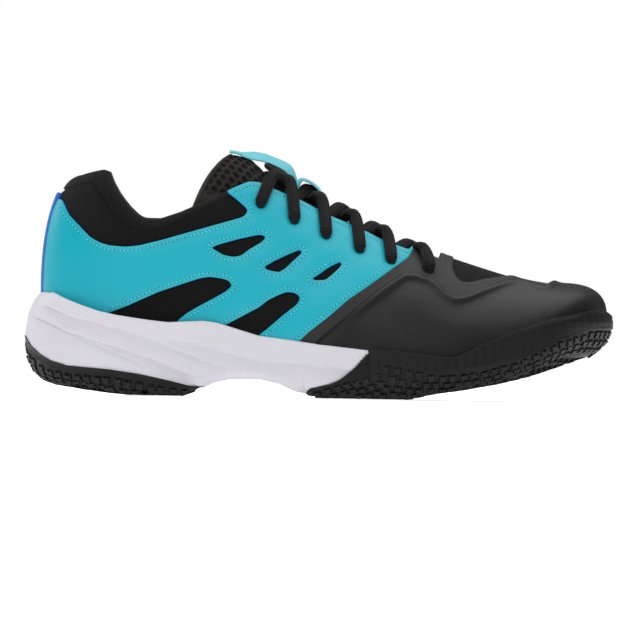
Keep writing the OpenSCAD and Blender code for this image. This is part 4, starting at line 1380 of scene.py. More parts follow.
@dataclass
class Collar:
    """The padded collar: a roll over the top edge and the lining down to the footbed.

    The roll's section is half an ellipse that leaves the last's surface along
    its rise and comes back at twice the half thickness inside it.
    """

    line = staticmethod(table((
        (-140, 102), (-135, 103), (-129, 104), (-122, 106), (-117, 107), (-115, 106), (-112, 102), (-109, 97.5),
        (-105, 92.5), (-101, 88), (-97, 85), (-93, 83.3), (-88, 82.7), (-81, 84), (-71, 88), (-62, 92.6), (-52, 98.3),
        (-46, 101.8), (-40, 105.5), (-37, 106.8), (-32, 107), (-27, 105), (-10, 98), (-2, 94), (6, 90), (14, 87),
        (23, 83), (29, 80), (37, 77), (60, 68),
    )))
    rise = staticmethod(table((
        (-140, 12.5), (-124, 12), (-116, 11.4), (-106, 12.2), (-101, 12), (-96, 10.4), (-90, 7.5), (-80, 5.6),
        (-65, 5), (-52, 4),
        (-42, 2.4), (-32, 1.0), (60, 0.8),
    )))
    half = staticmethod(table((
        (-140, 11.5), (-118, 10.5), (-110, 8.5), (-101, 6.5), (-90, 5), (-65, 4.5), (-52, 3.6), (-42, 2.2), (-32, 1.6),
        (60, 1.4),
    )))
    seam_angle = staticmethod(table((
        (-140, 96), (-114, 92), (-105, 74), (-98, 62), (-88, 56), (-60, 56), (-40, 62), (-24, 80), (60, 80)
    )))
    front: float = 7.0
    stations: int = 190

    def start(self, u: Array, side: float) -> Array:
        """Place s where the roll leaves the surface: where z meets the line, found by halving."""

        def above(mid: Array) -> Array:
            """Whether the surface there is over the line."""
            p = LAST.point(u, side * mid)
            return p[:, 2] > self.line(p[:, 0])

        return side * halve(np.full(u.shape, 0.04), np.full(u.shape, 1.0), above, 20)

    def roll(self, u: Array, side: float, turn: Array, depth: float) -> Array:
        """Points of the roll.

        Args:
            u: Rib numbers of the stations.
            side: -1 or 1.
            turn: Angles of the section in degrees for each station, n by m.
            depth: Depth under the roll's face.

        Returns:
            Grid of points, n by m by 3.
        """
        s = self.start(u, side)
        base = LAST.out(u, s, -1.3)
        n = LAST.normal(u, s)
        up = unit(LAST.point(u, s - side * 0.01) - LAST.point(u, s + side * 0.01))
        up = unit(up - (up * n).sum(1, keepdims=True) * n)
        b, a = self.rise(base[:, 0])[:, None], self.half(base[:, 0])[:, None]
        angle = np.radians(turn)
        c, sn = np.cos(angle), np.sin(angle)
        across = a * (1 - c) + depth * c
        over = (b - depth) * sn
        return base[:, None] + over[..., None] * up[:, None] - across[..., None] * n[:, None]

    def cover(self, side: Side) -> Surface:
        """The outer mesh from the roll's start to the seam."""
        u = np.linspace(0.004, self.front, self.stations)
        s = self.start(u, side.value)
        seam = self.seam_angle(LAST.point(u, s)[:, 0])
        turn = np.linspace(0, 1, 14)[None] * seam[:, None]
        return slab(self.roll(u, side.value, turn, 0.0), self.roll(u, side.value, turn, 1.3))

    def lining(self) -> None:
        """The lining: over the roll from the seam, then down the inside to the footbed."""
        face, back = [], []
        for side in Side:
            u = np.linspace(0.0, self.front, self.stations)
            s = self.start(u, side.value)
            seam = self.seam_angle(LAST.point(u, s)[:, 0])
            turn = seam[:, None] + np.linspace(0, 1, 16)[None] * (180 - seam[:, None])
            down = np.linspace(0, 1, 42)[1:]
            v = np.abs(s)[:, None] + down[None] * (0.995 - np.abs(s)[:, None])
            half = self.half(LAST.point(u, s)[:, 0])[:, None]
            for out, extra in ((face, 0.0), (back, -1.1)):
                top = self.roll(u, side.value, turn, -0.15 - extra)
                deep = 1.3 + 2 * half + (9.2 - 2 * half) * ease(0.0, 0.35, down)[None]
                deep = deep + (5.6 - deep) * ease(0.7, 0.92, v)
                inner = LAST.out(u[:, None] + 0 * v, side.value * v, -(deep + 0.15 + extra))
                out.append(np.concatenate([top, inner], 1))
        face, back = (np.concatenate([g[0][::-1], g[1][1:]]) for g in (face, back))
        piece = add_piece(
            "collar_lining_knit", slab(face, back), [Finishes.lining], "lining_black", "collar_lining", "collar_foam",
            sharp=60
        )

    def seam_welt(self) -> None:
        """The thin corded seam between the mesh and the lining, all round the collar."""
        rows = []
        for side in Side:
            u = np.linspace(0.0, self.front - 0.3, self.stations)
            s = self.start(u, side.value)
            seam = self.seam_angle(LAST.point(u, s)[:, 0])
            rows.append(self.roll(u, side.value, seam[:, None], 0.0)[:, 0])
        path = evenly(np.vstack([rows[0][::-1], rows[1][1:]]), 1.2)
        up = np.tile([0.0, 0.0, 1.0], (len(path), 1))
        add_piece("collar_seam", sweep(path, oval(0.8, 0.8, 8), up), [Finishes.thread_black], "lining_black")

    def make(self) -> None:
        """Builds the lining and the seam."""
        self.lining()
        self.seam_welt()


# --- sole


HEEL_GROUND: Points = (
    (-148, 29.5), (-147, 17), (-144, 12), (-141, 9), (-138, 7), (-130, 4), (-118, 2.2), (-106, 0.8), (-95, 0),
    (-68, 0), (-62, 2), (-57, 5),
)
HEEL_TOP: Points = (
    (-148, 30), (-144, 24), (-140, 20), (-135, 17), (-127, 14.5), (-105, 13), (-90, 11), (-75, 8), (-65, 5.6), (-57, 5),
)
ARCH: Points = ((-57, 5), (-52, 7.3), (-45, 9), (-30, 9.2), (-20, 7), (-12, 3.3), (-8, 2.6))
FOREFOOT_GROUND: Points = (
    (-7.9, 0.6), (-4, 0), (45, 0), (56, 2.6), (72, 5), (88, 8), (104, 12), (120, 17.3), (136, 23), (144, 30), (148, 38),
)
FOREFOOT_TOP: Points = (
    (-8, 2.6), (-5, 5), (5, 7.2), (10, 9.5), (17, 15), (26, 25.5), (35, 25), (45, 24), (55, 23), (65, 22), (70, 23),
    (75, 25.5), (80, 28.5), (89, 32), (99, 36), (109, 39), (119, 42), (129, 44), (139, 46.5), (145, 47), (148, 43),
)
RIM: Points = (
    (-148, 32), (-146, 40), (-144, 47), (-141, 51), (-131, 48), (-111, 42), (-101, 40), (-86, 38), (-76, 37),
    (-58, 38), (-51, 37), (-41, 34), (-31, 31), (-15, 29), (0, 27), (20, 25), (24, 24.6),
)


@dataclass
class Sole:
    """The cupped midsole: a section carried round the sole's plan.

    A point of the wall stands on a plan point, moved inward by an inset that
    depends on its place along the shoe and on its height.
    """

    plan: Points = (
        (-147.5, 0), (-145, -15), (-136, -28), (-120, -37), (-98, -40), (-70, -40.5), (-40, -41), (-15, -44),
        (8, -49), (30, -53), (52, -55), (72, -54.4), (92, -50.5), (110, -43.5), (125, -33.5), (137, -20.5),
        (145, -6), (147.5, 6), (146, 15), (140, 27), (128, 39), (112, 48.5), (95, 53.5), (76, 55), (54, 53),
        (30, 47.5), (8, 41), (-15, 36), (-40, 34.5), (-70, 35.5), (-98, 36.5), (-120, 34), (-136, 25), (-145, 13),
    )
    step: float = 1.2
    rows: int = 72
    floor: Callable[[Array], Array] = field(default_factory=lambda: table((
        (-136, 19), (-108, 17), (-60, 14), (-16, 12), (30, 9), (54, 9.5), (78, 13), (100, 18), (120, 24), (142, 33)
    )))
    ground = staticmethod(table(HEEL_GROUND + ARCH[1:] + FOREFOOT_GROUND))
    rim = staticmethod(table(RIM + FOREFOOT_TOP[6:]))
    under = staticmethod(table(HEEL_TOP + ARCH[1:] + tuple((x, z + 4.5) for x, z in FOREFOOT_GROUND[1:])))
    heel_inset = staticmethod(table((
        (0.5, 44), (2.2, 29), (4, 17.5), (7, 9.2), (9, 6.5), (12, 3.5), (17, 1), (24, -0.2), (32, -0.2), (40, 1),
        (44, 2.5), (47, 3.8), (51, 7.2),
    )))
    toe_inset = staticmethod(table((
        (12, 44), (17.3, 27.5), (20, 19), (23, 11.5), (26.5, 7), (30, 3.6), (34, 1.7), (37.3, 0.6), (40, 0.5),
        (43, 1.2), (45, 2.4), (47, 5),
    )))
    rounding = staticmethod(table((
        (-140, 6), (-62, 5), (-52, 4), (-14, 4), (-4, 9), (60, 11), (148, 11)
    )))
    groove_upper = staticmethod(table(((-141, 44), (-126, 39), (-101, 33), (-80, 26), (-60, 18), (-42, 13))))
    groove_lower = staticmethod(table(((-146, 39), (-126, 31), (-105, 25), (-85, 18), (-70, 12), (-58, 8))))
    groove_faint = staticmethod(table(((-126, 31), (-100, 20), (-85, 14))))
    fold = staticmethod(table(((-76, 30), (-50, 24), (-30, 19), (-10, 18), (14, 14))))

    def ring(self) -> tuple[Array, Array]:
        """Even stations round the plan and their inward directions."""
        rows = np.asarray(self.plan, float)
        closed = np.vstack([rows[-1:], rows, rows[:2]])
        line = catmull_rom(closed, np.linspace(1, len(rows) + 1, 2000))[:-1]
        at = evenly(line, self.step, closed=True)
        ahead = unit(np.roll(at, -3, 0) - np.roll(at, 3, 0))
        return at, np.stack([-ahead[:, 1], ahead[:, 0]], 1)

    def inset(self, x: Array, z: Array) -> Array:
        """How far inside the plan the outer wall lies.

        Along the sides the wall leans in towards the rim as the cube of the
        height, swells a little half way, and rounds under as a power 1.5. At
        the heel and the toe it follows their own tables.
        """
        low, top = self.ground(x), self.rim(x)
        h = z - low
        t = np.clip(h / np.maximum(top - low, 1), 0, 1)
        r = self.rounding(x)
        lean = np.where(x < 24, 2.2, 1.0) * t**3 - 0.3 * np.sin(math.pi * t)
        side = lean + 1.15 * r * np.clip(1 - h / r, 0, 1) ** 1.6
        heel, toe = ease(-96, -132, x), ease(112, 143, x)
        side = side + (self.heel_inset(z) - side) * heel
        return side + (self.toe_inset(z) - side) * toe

    def lines(self, x: Array, z: Array) -> Array:
        """Depth of the moulded grooves and steps of the white wall."""
        upper = ease(-144, -138, x) * ease(-40, -56, x)
        lower = ease(-147, -143, x) * ease(-56, -70, x)
        faint = ease(-128, -120, x) * ease(-83, -92, x)
        a, b = z - self.groove_upper(x), z - self.groove_lower(x)
        c, e = z - self.groove_faint(x), z - self.fold(x)
        cut = 1.3 * np.exp(-((a / 0.7) ** 2)) + 2.0 * ease(0.8, -1.6, a) * ease(-9, -2, a)
        cut *= upper
        cut += lower * (1.3 * np.exp(-((b / 0.7) ** 2)) + 1.6 * ease(0.8, -1.6, b) * ease(-8, -2, b))
        cut += faint * 0.6 * np.exp(-((c / 0.7) ** 2))
        ledge = ease(-84, -66, x) * ease(20, 4, x)
        return cut + ledge * 2.0 * ease(1.4, -1.0, e) * ease(-11, -2, e)

    def walls(self, x: Array, z: Array) -> Array:
        """Inset of the white wall, which steps back where the rubber covers it."""
        covered = ease(0.5, -0.4, z - np.where(x > -8, Rubber.front_top(x), -9))
        covered = np.maximum(covered, ease(24, 27, x))
        return self.inset(x, z) + self.lines(x, z) * (1 - covered) + 1.7 * covered

    def spine(self, x: Array, low: float, high: float) -> Array:
        """Points of the middle line that the sections close on."""
        sx = np.clip(x, low, high)
        middle = table(((-147, 0), (-98, -1.8), (-40, -3.2), (8, -4), (52, -1), (92, 1.5), (140, 4)))
        return np.stack([sx, middle(sx)], -1)

    def midsole(self) -> None:
        """The white cup, closed underneath and inside along its middle line."""
        at, inward = self.ring()
        x = at[:, 0]
        low, top = self.under(x), self.rim(x) - np.where(x > 24, 1.6, 0.0)
        top = top + (51 - top) * ease(-137, -145, x)
        t = np.linspace(0, 1, self.rows)
        z = low[:, None] + t[None] * (top - 0.7 - low)[:, None]
        xx = np.repeat(x[:, None], self.rows, 1)
        cut = self.walls(xx, z)
        wall = np.concatenate([at[:, None] + cut[..., None] * inward[:, None], z[..., None]], 2)
        lip_in = np.array([0.25, 0.8, 1.8, 4.0, 7.0])
        lip_z = np.array([-0.35, -0.08, 0.0, -0.4, -1.6])
        flat = at[:, None] + (cut[:, -1:] + lip_in[None])[..., None] * inward[:, None]
        lip = np.concatenate([flat, (top[:, None] + lip_z[None])[..., None]], 2)
        base = at + (cut[:, -1:] + 8.0) * inward
        inside = np.concatenate([base, self.floor(x)[:, None]], 1)
        f = np.linspace(0, 1, 8)[1:]
        ends = self.spine(x, -110, 100)
        span = inside[:, None, :2] + f[None, :, None] * (ends[:, None] - inside[:, None, :2])
        floor = np.concatenate([span, self.floor(span[..., 0])[..., None]], 2)
        g = np.linspace(0, 1, 10)[:-1]
        reach = ends[:, None] + g[None, :, None] * (wall[:, :1, :2] - ends[:, None])
        foot = np.minimum(self.under(reach[..., 0]), self.floor(reach[..., 0]) - 1.5)
        sole = np.concatenate([reach, (foot + (low[:, None] - foot) * g[None] ** 6)[..., None]], 2)
        grid = np.concatenate([sole, wall, lip, inside[:, None], floor], 1)
        add_piece(
            "midsole_moulded", grid_surface(grid, around=True), [Finishes.foam_white], "midsole_white", "midsole",
            weld=0.02, sharp=42
        )

    def make(self) -> None:
        """Builds the midsole and both rubbers."""
        self.midsole()
        Rubber("outsole_forefoot", FOREFOOT_TOP, (-8.0, 148.0), (0.0, 96.0)).make(self)
        Rubber("outsole_heel", HEEL_TOP, (-148.0, -57.0), (-110.0, -62.0)).make(self)


@dataclass
class Rubber:
    """One rubber unit: the band up the sole's side, the tread under it, and its lugs.

    Attributes:
        node: Part that it stands for.
        top_line: Upper edge seen from the side.
        ends: First and last place along the shoe.
        spine: Part of the middle line that the sections close on.
        thickness: Thickness of the band.
        lug: Height of a lug.
        pitch: Distance between lugs.
        arm: Half width of a lug's arms.
        wall_rows: Rows of the grid over the band's height.
    """

    node: str
    top_line: Points
    ends: tuple[float, float]
    spine: tuple[float, float]
    thickness: float = 1.9
    lug: float = 1.1
    pitch: float = 5.6
    arm: float = 0.85
    wall_rows: int = 46
    front_top = staticmethod(table(FOREFOOT_TOP))
    tread_line = staticmethod(table((
        (-148, 25), (-144, 19), (-140, 15.5), (-135, 13), (-127, 11), (-105, 9.5), (-90, 7.5), (-75, 4.8), (-57, 3),
        (-8, 2), (27, 13), (33, 18), (38, 17), (60, 13), (80, 15), (100, 21),
        (120, 31), (134, 36), (142, 37), (148, 37),
    )))

    def section(self, sole: Sole) -> tuple[Array, Array]:
        """Outer and inner grids of the unit, from its upper edge down and in to the middle line."""
        at, inward = sole.ring()
        keep = (at[:, 0] > self.ends[0]) & (at[:, 0] < self.ends[1])
        start = int(np.argmax(keep & ~np.roll(keep, 1)))
        order = (start + np.arange(int(keep.sum()))) % len(at)
        at, inward = at[order], inward[order]
        x = at[:, 0]
        top = table(self.top_line)(x)
        end = np.where(x < -100, 3.7, np.where(x > 100, 22.0, 0.0))
        weight = np.where(x < 0, ease(-100, -140, x), ease(112, 143, x))
        low = sole.ground(x) + self.lug
        low = low + (end + self.lug - low) * weight
        low = np.minimum(low, top - 0.4)
        t = np.linspace(0, 1, self.wall_rows)
        z = top[:, None] + t[None] * (low - top)[:, None]
        xx = np.repeat(x[:, None], len(t), 1)
        tread = ease(0.5, -0.6, z - self.tread_line(xx))
        lip = 0.4 * np.exp(-(((top[:, None] - z) / 0.8) ** 2))
        step = 0.35 * np.exp(-(((z - self.tread_line(xx)) / 0.6) ** 2))
        inset = sole.inset(xx, z - self.lug * 0.3) - 0.25 - lip - step + 0.7 * tread
        inner = inset + self.thickness + 8.0 * ease(0.3, 0.0, t)[None]
        ends = sole.spine(x, *self.spine)
        f = np.linspace(0, 1, 26)[1:]
        sheets = []
        for shift, lift in ((inset, 0.0), (inner, 2.2)):
            flat = at[:, None] + shift[..., None] * inward[:, None]
            high = np.minimum(z + lift * ease(0.3, 1.0, t)[None], top[:, None])
            high = high - 0.12 * lift * ease(0.25, 0.0, t)[None]
            wall = np.concatenate([flat, high[..., None]], 2)
            reach = flat[:, -1:] + f[None, :, None] * (ends[:, None] - flat[:, -1:])
            bed = sole.ground(reach[..., 0]) + self.lug + lift
            join = (1 - f[None]) ** 8
            bed = bed + (high[:, -1:] - bed) * join
            floor = np.concatenate([reach, bed[..., None]], 2)
            sheets.append(np.concatenate([wall, floor], 1))
        return sheets[0], sheets[1]

    def lugs(self, grid: Array) -> Surface:
        """Crosses on the tread: rows round the side, then a lattice underneath.

        Args:
            grid: Outer grid of the unit.

        Returns:
            All the lugs as one surface.
        """
        along = unit(np.gradient(grid, axis=0))
        down = unit(np.gradient(grid, axis=1))
        normal = unit(np.cross(down, along))
        normal = normal * np.where(normal[..., 2:] > 0.3, -1, 1)
        run = np.cumsum(norm(np.diff(grid, axis=1, prepend=grid[:, :1]), axis=2), 1)
        wall = self.wall_rows
        line = grid[:, :wall, 2] - self.tread_line(grid[:, :wall, 0])
        first = np.take_along_axis(run[:, :wall], np.argmin(np.abs(line), 1)[:, None], 1)
        girth = travelled(grid[:, 20])
        places, frames = [], []
        for k in range(5):
            count = int(girth[-1] / self.pitch)
            stations = np.interp((np.arange(count) + 0.5 * (k % 2)) * self.pitch, girth, np.arange(len(girth)))
            i = np.clip(np.round(stations).astype(int), 0, len(grid) - 1)
            want = first[i, 0] + 0.55 * self.pitch + k * 0.86 * self.pitch
            j = np.argmin(np.abs(run[i] - want[:, None]), 1)
            good = j < wall - 2
            p, n = grid[i, j][good], normal[i, j][good]
            places.append(p)
            frames.append(np.stack([along[i, j][good], np.cross(n, along[i, j][good]), n], 1))
        side = np.vstack(places)
        xs = np.arange(self.ends[0] + 8, self.ends[1] - 10, self.pitch)
        ys = np.arange(-50, 52, 0.86 * self.pitch)
        xx, yy = np.meshgrid(xs, ys, indexing="ij")
        xx = xx + 0.5 * self.pitch * (np.arange(len(ys)) % 2)[None]
        flat = np.stack([xx.ravel(), yy.ravel()], 1)
        bottom = grid[:, wall - 1 :].reshape(-1, 3)
        nearest = np.concatenate([
            ((bottom[None, :, :2] - part[:, None]) ** 2).sum(2).argmin(1) for part in np.array_split(flat, 12)
        ])
        close = norm(bottom[nearest, :2] - flat, axis=1) < 2.2
        near = norm(side[None, :, :2] - flat[:, None], axis=2).min(1)
        close &= near > 0.8 * self.pitch
        z = bottom[nearest, 2]
        slope = np.gradient(Sole.ground(np.arange(-150, 150.0)))
        tilt = np.interp(flat[:, 0], np.arange(-150, 150.0), slope)
        ahead = unit(np.stack([np.ones(len(tilt)), 0 * tilt, tilt], 1))
        n = np.stack([ahead[:, 2], 0 * tilt, -ahead[:, 0]], 1)
        under = np.stack([ahead, np.cross(n, ahead), n], 1)
        at = np.vstack([side, np.c_[flat, z][close]])
        turned = np.concatenate([np.concatenate(frames), under[close]])
        a, b = self.arm, 0.4 * self.pitch
        cross = [(a, a), (a, b), (-a, b), (-a, a), (-b, a), (-b, -a), (-a, -a), (-a, -b), (a, -b), (a, -a), (b, -a),
            (b, a)]
        turn = math.radians(45)
        cross = np.asarray(cross) @ np.array([[math.cos(turn), math.sin(turn)], [-math.sin(turn), math.cos(turn)]])
        return copies(prism(cross, -0.4, self.lug - 0.35, 0.88), at, turned)

    def make(self, sole: Sole) -> None:
        """Builds the rubber unit and its lugs."""
        face, back = self.section(sole)
        add_piece(
            f"{self.node}_rubber", slab(face, back), [Finishes.rubber], "rubber_black", self.node, weld=0.01, sharp=42
        )
        lugs = self.lugs(face)
        add_piece(f"{self.node}_lugs", lugs, [Finishes.lug], "rubber_black", sharp=30)


# --- tongue


@dataclass
class Tongue:
    """The padded tongue, in a lateral and a medial half, and the keeper on its middle.

    Both faces follow the last at a depth. The outer face is dimpled in a honeycomb of small holes, whose insides are
    painted near black as shade, and swells between its bound edges.
    """

    half: float = 25.5
    thickness: float = 6.2
    hole: float = 1.6
    pitch: float = 4.5
    front: float = 10.35
    depth = staticmethod(table((
        (-70, 4.2), (-44, 4.2), (-34, 4.6), (-24, 7.6), (25, 7.9), (39, 7.3), (55, 6.6), (64, 6.4),
    )))

    def rear(self, a: Array) -> Array:
        """Rib number of the free edge, for the share a of the half width."""
        return 5.6 - 0.86 * np.abs(a) ** 1.5

    def grid(self, side: Side, rows: int, columns: int) -> tuple[Array, Array, Array, Array]:
        """Rib numbers, y, and distances to the edges over one half."""
        a = np.linspace(0, 1, columns)
        b = np.linspace(0, 1, rows)
        bb, aa = np.meshgrid(b, a, indexing="ij")
        rear = self.rear(aa)
        u = rear + bb * (self.front - rear)
        y = side.value * aa * (self.half - 4.5 * ease(0.75, 1.0, bb))
        edge = np.minimum((1 - aa) * self.half, bb * 122)
        return u, y, edge, aa

    def honeycomb(self, x: Array, y: Array) -> Array:
        """Distance to the nearest point of a hexagonal lattice."""
        px, py = self.pitch, self.pitch * math.sqrt(3)
        one = np.hypot(x - px * np.round(x / px), y - py * np.round(y / py))
        x2, y2 = x - px / 2, y - py / 2
        return np.minimum(one, np.hypot(x2 - px * np.round(x2 / px), y2 - py * np.round(y2 / py)))

    def halves(self) -> None:
        """The tongue's two halves, one each side of the middle plane."""
        for side in Side:
            u, y, edge, aa = self.grid(side, 270, 62)
            x = LAST.point(u, 0)[..., 0]
            deep = self.depth(x)
            s = LAST.at_y(u, np.where(np.abs(y) < 0.02, side.value * 0.02, y), -deep)
            s = np.where(aa == 0, 0, s)
            round_off = bevel(-edge, 2.6, 4.0)
            band = ease(3.0, 3.6, edge)
            plain = LAST.out(u, s, -deep)
            girth = norm(np.diff(plain, axis=1, prepend=plain[:, :1]), axis=2).cumsum(1)
            dimple = band * ease(self.hole + 0.25, self.hole - 0.3, self.honeycomb(x, side.value * girth))
            swell = 0.7 * ease(3.0, 12.0, edge)
            welt = 0.45 * np.exp(-(((edge - 1.8) / 1.2) ** 2)) - 0.35 * np.exp(-(((edge - 3.4) / 0.5) ** 2))
            face = LAST.out(u, s, -deep + swell + welt - round_off - 0.95 * dimple)
            back = LAST.out(u, s, -deep - self.thickness + round_off)
            surface = slab(face, back)
            # The hole mark makes the finish paint the dimples near black: painted shade in the holes.
            surface.marks["hole"] = np.r_[dimple.ravel(), np.zeros(dimple.size)]
            piece = build(f"tongue_{side.word}_mesh", surface, [Finishes.tongue], sharp=60)
            nodes = ("tongue_face", "tongue_foam", "tongue_lining") if side is Side.LATERAL else ()
            hang_between(piece, "tongue_mesh", nodes)

    def keeper(self) -> None:
        """The webbing loop: sewn down at its ends and middle, with an arch over each crossing."""
        stations = [
            (5.60, 1.0), (5.75, 1.3), (5.95, 1.6), (6.2, 3.4), (6.4, 6.0), (6.6, 8.0), (6.8, 9.0), (6.95, 8.6),
            (7.04, 5.0), (7.10, 1.4), (7.16, 4.0), (7.26, 7.4), (7.45, 8.4), (7.64, 7.4), (7.76, 4.0), (7.84, 1.4),
            (7.9, 1.0),
        ]
        u = np.array([row[0] for row in stations])
        p = LAST.point(u, 0)
        low = p[:, 2] - self.depth(p[:, 0]) + np.array([row[1] for row in stations])
        line = smooth_curve(np.stack([p[:, 0], 0 * low, low], 1), 0.5)
        ahead = unit(np.gradient(line, axis=0))
        up = np.stack([-ahead[:, 2], 0 * ahead[:, 0], ahead[:, 0]], 1)
        roll = np.radians(4 + 15 * ease(-44, -34, line[:, 0]) * ease(-9, -16, line[:, 0]))[:, None]
        up = up * np.cos(roll) - np.sin(roll) * np.array([0.0, 1.0, 0.0])
        surface = sweep(line, oval(12.6, 1.15, 20, 4), up)
        add_piece(
            "lace_keeper_webbing", surface, [Finishes.webbing], "webbing_cyan", "lace_keeper", sharp=50,
            body=Body.TONGUE
        )

    def make(self) -> None:
        """Builds the tongue and its keeper."""
        self.halves()
        self.keeper()


# --- laces


@dataclass
class Lace:
    """The flat-oval lace: crossings in the throat, and two ends tucked into the shoe."""

    width: float = 6.2
    height: float = 3.5
    over: float = -2.0
    below: float = 6.1
    low_cross: float = 5.8
    high_cross: float = 2.3
    throat: float = 13.5
    tongue: float = 10.0
    eyelets: Points = EYELETS
    ends: dict[Side, Points] = field(default_factory=lambda: {
        Side.LATERAL: (
            (-31, -21, 82), (-32, -22, 70), (-34, -22, 56), (-38, -22, 44), (-46, -21, 35), (-57, -18, 31),
            (-70, -14, 31), (-84, -9, 32), (-97, -2, 33),
        ),
        Side.MEDIAL: (
            (-30, 19, 82), (-29, 20, 70), (-27, 21, 56), (-23, 22, 43), (-14, 23, 33), (-2, 24, 28.5), (12, 25, 26.5),
            (26, 26, 25.5), (40, 27, 25.5),
        ),
    })

    def under(self, side: Side, u: float, v: float, depth: float) -> Array:
        """Point at a depth under the last's surface."""
        return LAST.out(np.array(u), np.array(side.value * v), -depth)

    def across(self, side: Side, u: float, y: float, depth: float) -> Array:
        """Point at a distance from the middle plane and a depth."""
        s = LAST.at_y(np.array(u), np.array(side.value * y), -depth)
        return LAST.out(np.array(u), s, -depth)

    def over_eyestay(self, side: Side, u: float, v: float, toward: int) -> list[Array]:
        """Out of an eyelet and over the eyestay to the throat."""
        lean = 0.22 if toward > 0 else -0.46
        return [
            self.under(side, u, v, self.below), self.under(side, u, v, 1.5),
            self.under(side, u - 0.02 * toward, v - 0.02, self.over),
            self.across(side, u - 0.5 * lean, self.throat + 4, self.over),
            self.across(side, u - lean, self.throat, self.over + 0.4),
        ]

    def under_eyestay(self, side: Side, u: float, middle: float) -> list[Array]:
        """Down beside the tongue and under the eyestay's edge."""
        return [
            self.across(side, middle + 0.4 * (u - middle), self.tongue - 2.5, self.low_cross),
            self.across(side, middle + 0.7 * (u - middle), self.throat - 1.75, 6.05),
            self.across(side, u + 0.06, self.throat + 1.5, self.below + 0.6),
        ]

    def diagonal(self, side: Side, k: int) -> list[Array]:
        """One crossing, from an eyelet of a side to the next pair's other side."""
        e, f = self.eyelets[k], self.eyelets[k - 1]
        middle = (e[0] + f[0]) / 2
        cross = self.low_cross if side is Side.LATERAL else self.high_cross
        other = Side(-side.value)
        lean = 0.2 * (e[0] - f[0])
        if k == 1:
            tail = [
                self.across(other, middle - lean, 5.5, cross - 0.6), *self.over_eyestay(other, f[0], f[1], -1)[::-1]
            ]
        else:
            tail = self.under_eyestay(other, f[0], middle)
        return [
            *self.over_eyestay(side, e[0], e[1], 1), self.across(side, middle + lean, 5.5, cross - 0.6),
            self.under(side, middle, 0, cross), *tail,
        ]

    def route(self) -> Array:
        """Points of the whole lacing, from the lateral top eyelet to the medial one."""
        halves = {
            side: [p for k in range(5, 0, -1) for p in self.diagonal(side if k % 2 else Side(-side.value), k)]
            for side in Side
        }
        toe = self.eyelets[5][0]
        points = [
            *halves[Side.LATERAL][::-1], *self.under_eyestay(Side.LATERAL, toe, toe)[::-1],
            self.under(Side.LATERAL, toe, 0, self.low_cross - 1), *self.under_eyestay(Side.MEDIAL, toe, toe),
            *halves[Side.MEDIAL],
        ]
        return np.array(points)

    def framed(self, path: Array) -> tuple[Array, Array]:
        """Upright directions along a path, and how much it runs straight through the upper.

        The sideways direction is the path's crossed with the last's normal. It
        keeps its sign from point to point, and is smoothed over the stretches
        where the path follows the normal.
        """
        ribs = np.linspace(0, LAST.end, 200)
        u = np.interp(path[:, 0], LAST.point(ribs, 0)[:, 0], ribs)
        across = np.clip(path[:, 1] / 60, -0.8, 0.8)
        n = LAST.normal(u, across)
        along = unit(np.gradient(path, axis=0))
        raw = np.cross(along, n)
        sign = np.cumprod(np.r_[1, np.where((raw[1:] * raw[:-1]).sum(1) < 0, -1, 1)])
        raw = raw * sign[:, None]
        weight = norm(raw, axis=1)
        kernel = np.exp(-np.linspace(-2, 2, 17) ** 2)
        spread = np.stack([np.convolve(np.pad(raw[:, k] * weight, 8, "edge"), kernel, "valid") for k in range(3)], 1)
        side = unit(spread)
        return unit(np.cross(side, along)), ease(0.75, 0.2, weight)

    def ribbed(self, path: Array, bunch: Array | float = 0.0) -> Array:
        """Sections along a path: narrower where bunched, and with small ribs along the way."""
        base = oval(1.0, 1.0, 16, 2.3)
        bunch = np.broadcast_to(bunch, len(path))
        run = travelled(path)
        rib = 1 + 0.05 * np.sin(run * 2 * math.pi / 1.3)
        width = (self.width - 1.6 * bunch) * rib
        height = (self.height + 0.7 * bunch) * rib
        return base[None] * np.stack([width, height], 1)[:, None]

    def crossings(self) -> None:
        """The lacing, cut at the middle plane into a lateral and a medial piece."""
        path = smooth_curve(self.route(), 0.33)
        up, bunch = self.framed(path)
        sections = self.ribbed(path, bunch)
        side_of = np.where(path[:, 1] < 0, -1, 1)
        cuts = np.r_[0, np.flatnonzero(np.diff(side_of)) + 1, len(path)]
        pieces: dict[Side, Surface | None] = {Side.LATERAL: None, Side.MEDIAL: None}
        for first, last in zip(cuts[:-1], cuts[1:]):
            run = slice(max(first - 1, 0), min(last + 1, len(path)))
            if run.stop - run.start < 6:
                continue
            side = Side(int(side_of[(first + last) // 2]))
            tube = sweep(path[run], sections[run], up[run])
            pieces[side] = tube if pieces[side] is None else pieces[side].joined(tube)
        for side, surface in pieces.items():
            piece = build(f"lace_crossings_{side.word}", surface, [Finishes.lace], sharp=60)
            hang_between(piece, "lace_black", ("lace",) if side is Side.LATERAL else ())

    def end_path(self, side: Side) -> Array:
        """Path of one end, from under its eyelet to its tip."""
        u, v = self.eyelets[0]
        start = [self.under(side, u, v, self.below + 1.2), self.under(side, u, v + 0.01, self.below + 2.2)]
        return smooth_curve([*(tuple(p) for p in start), *self.ends[side]], 1.0)

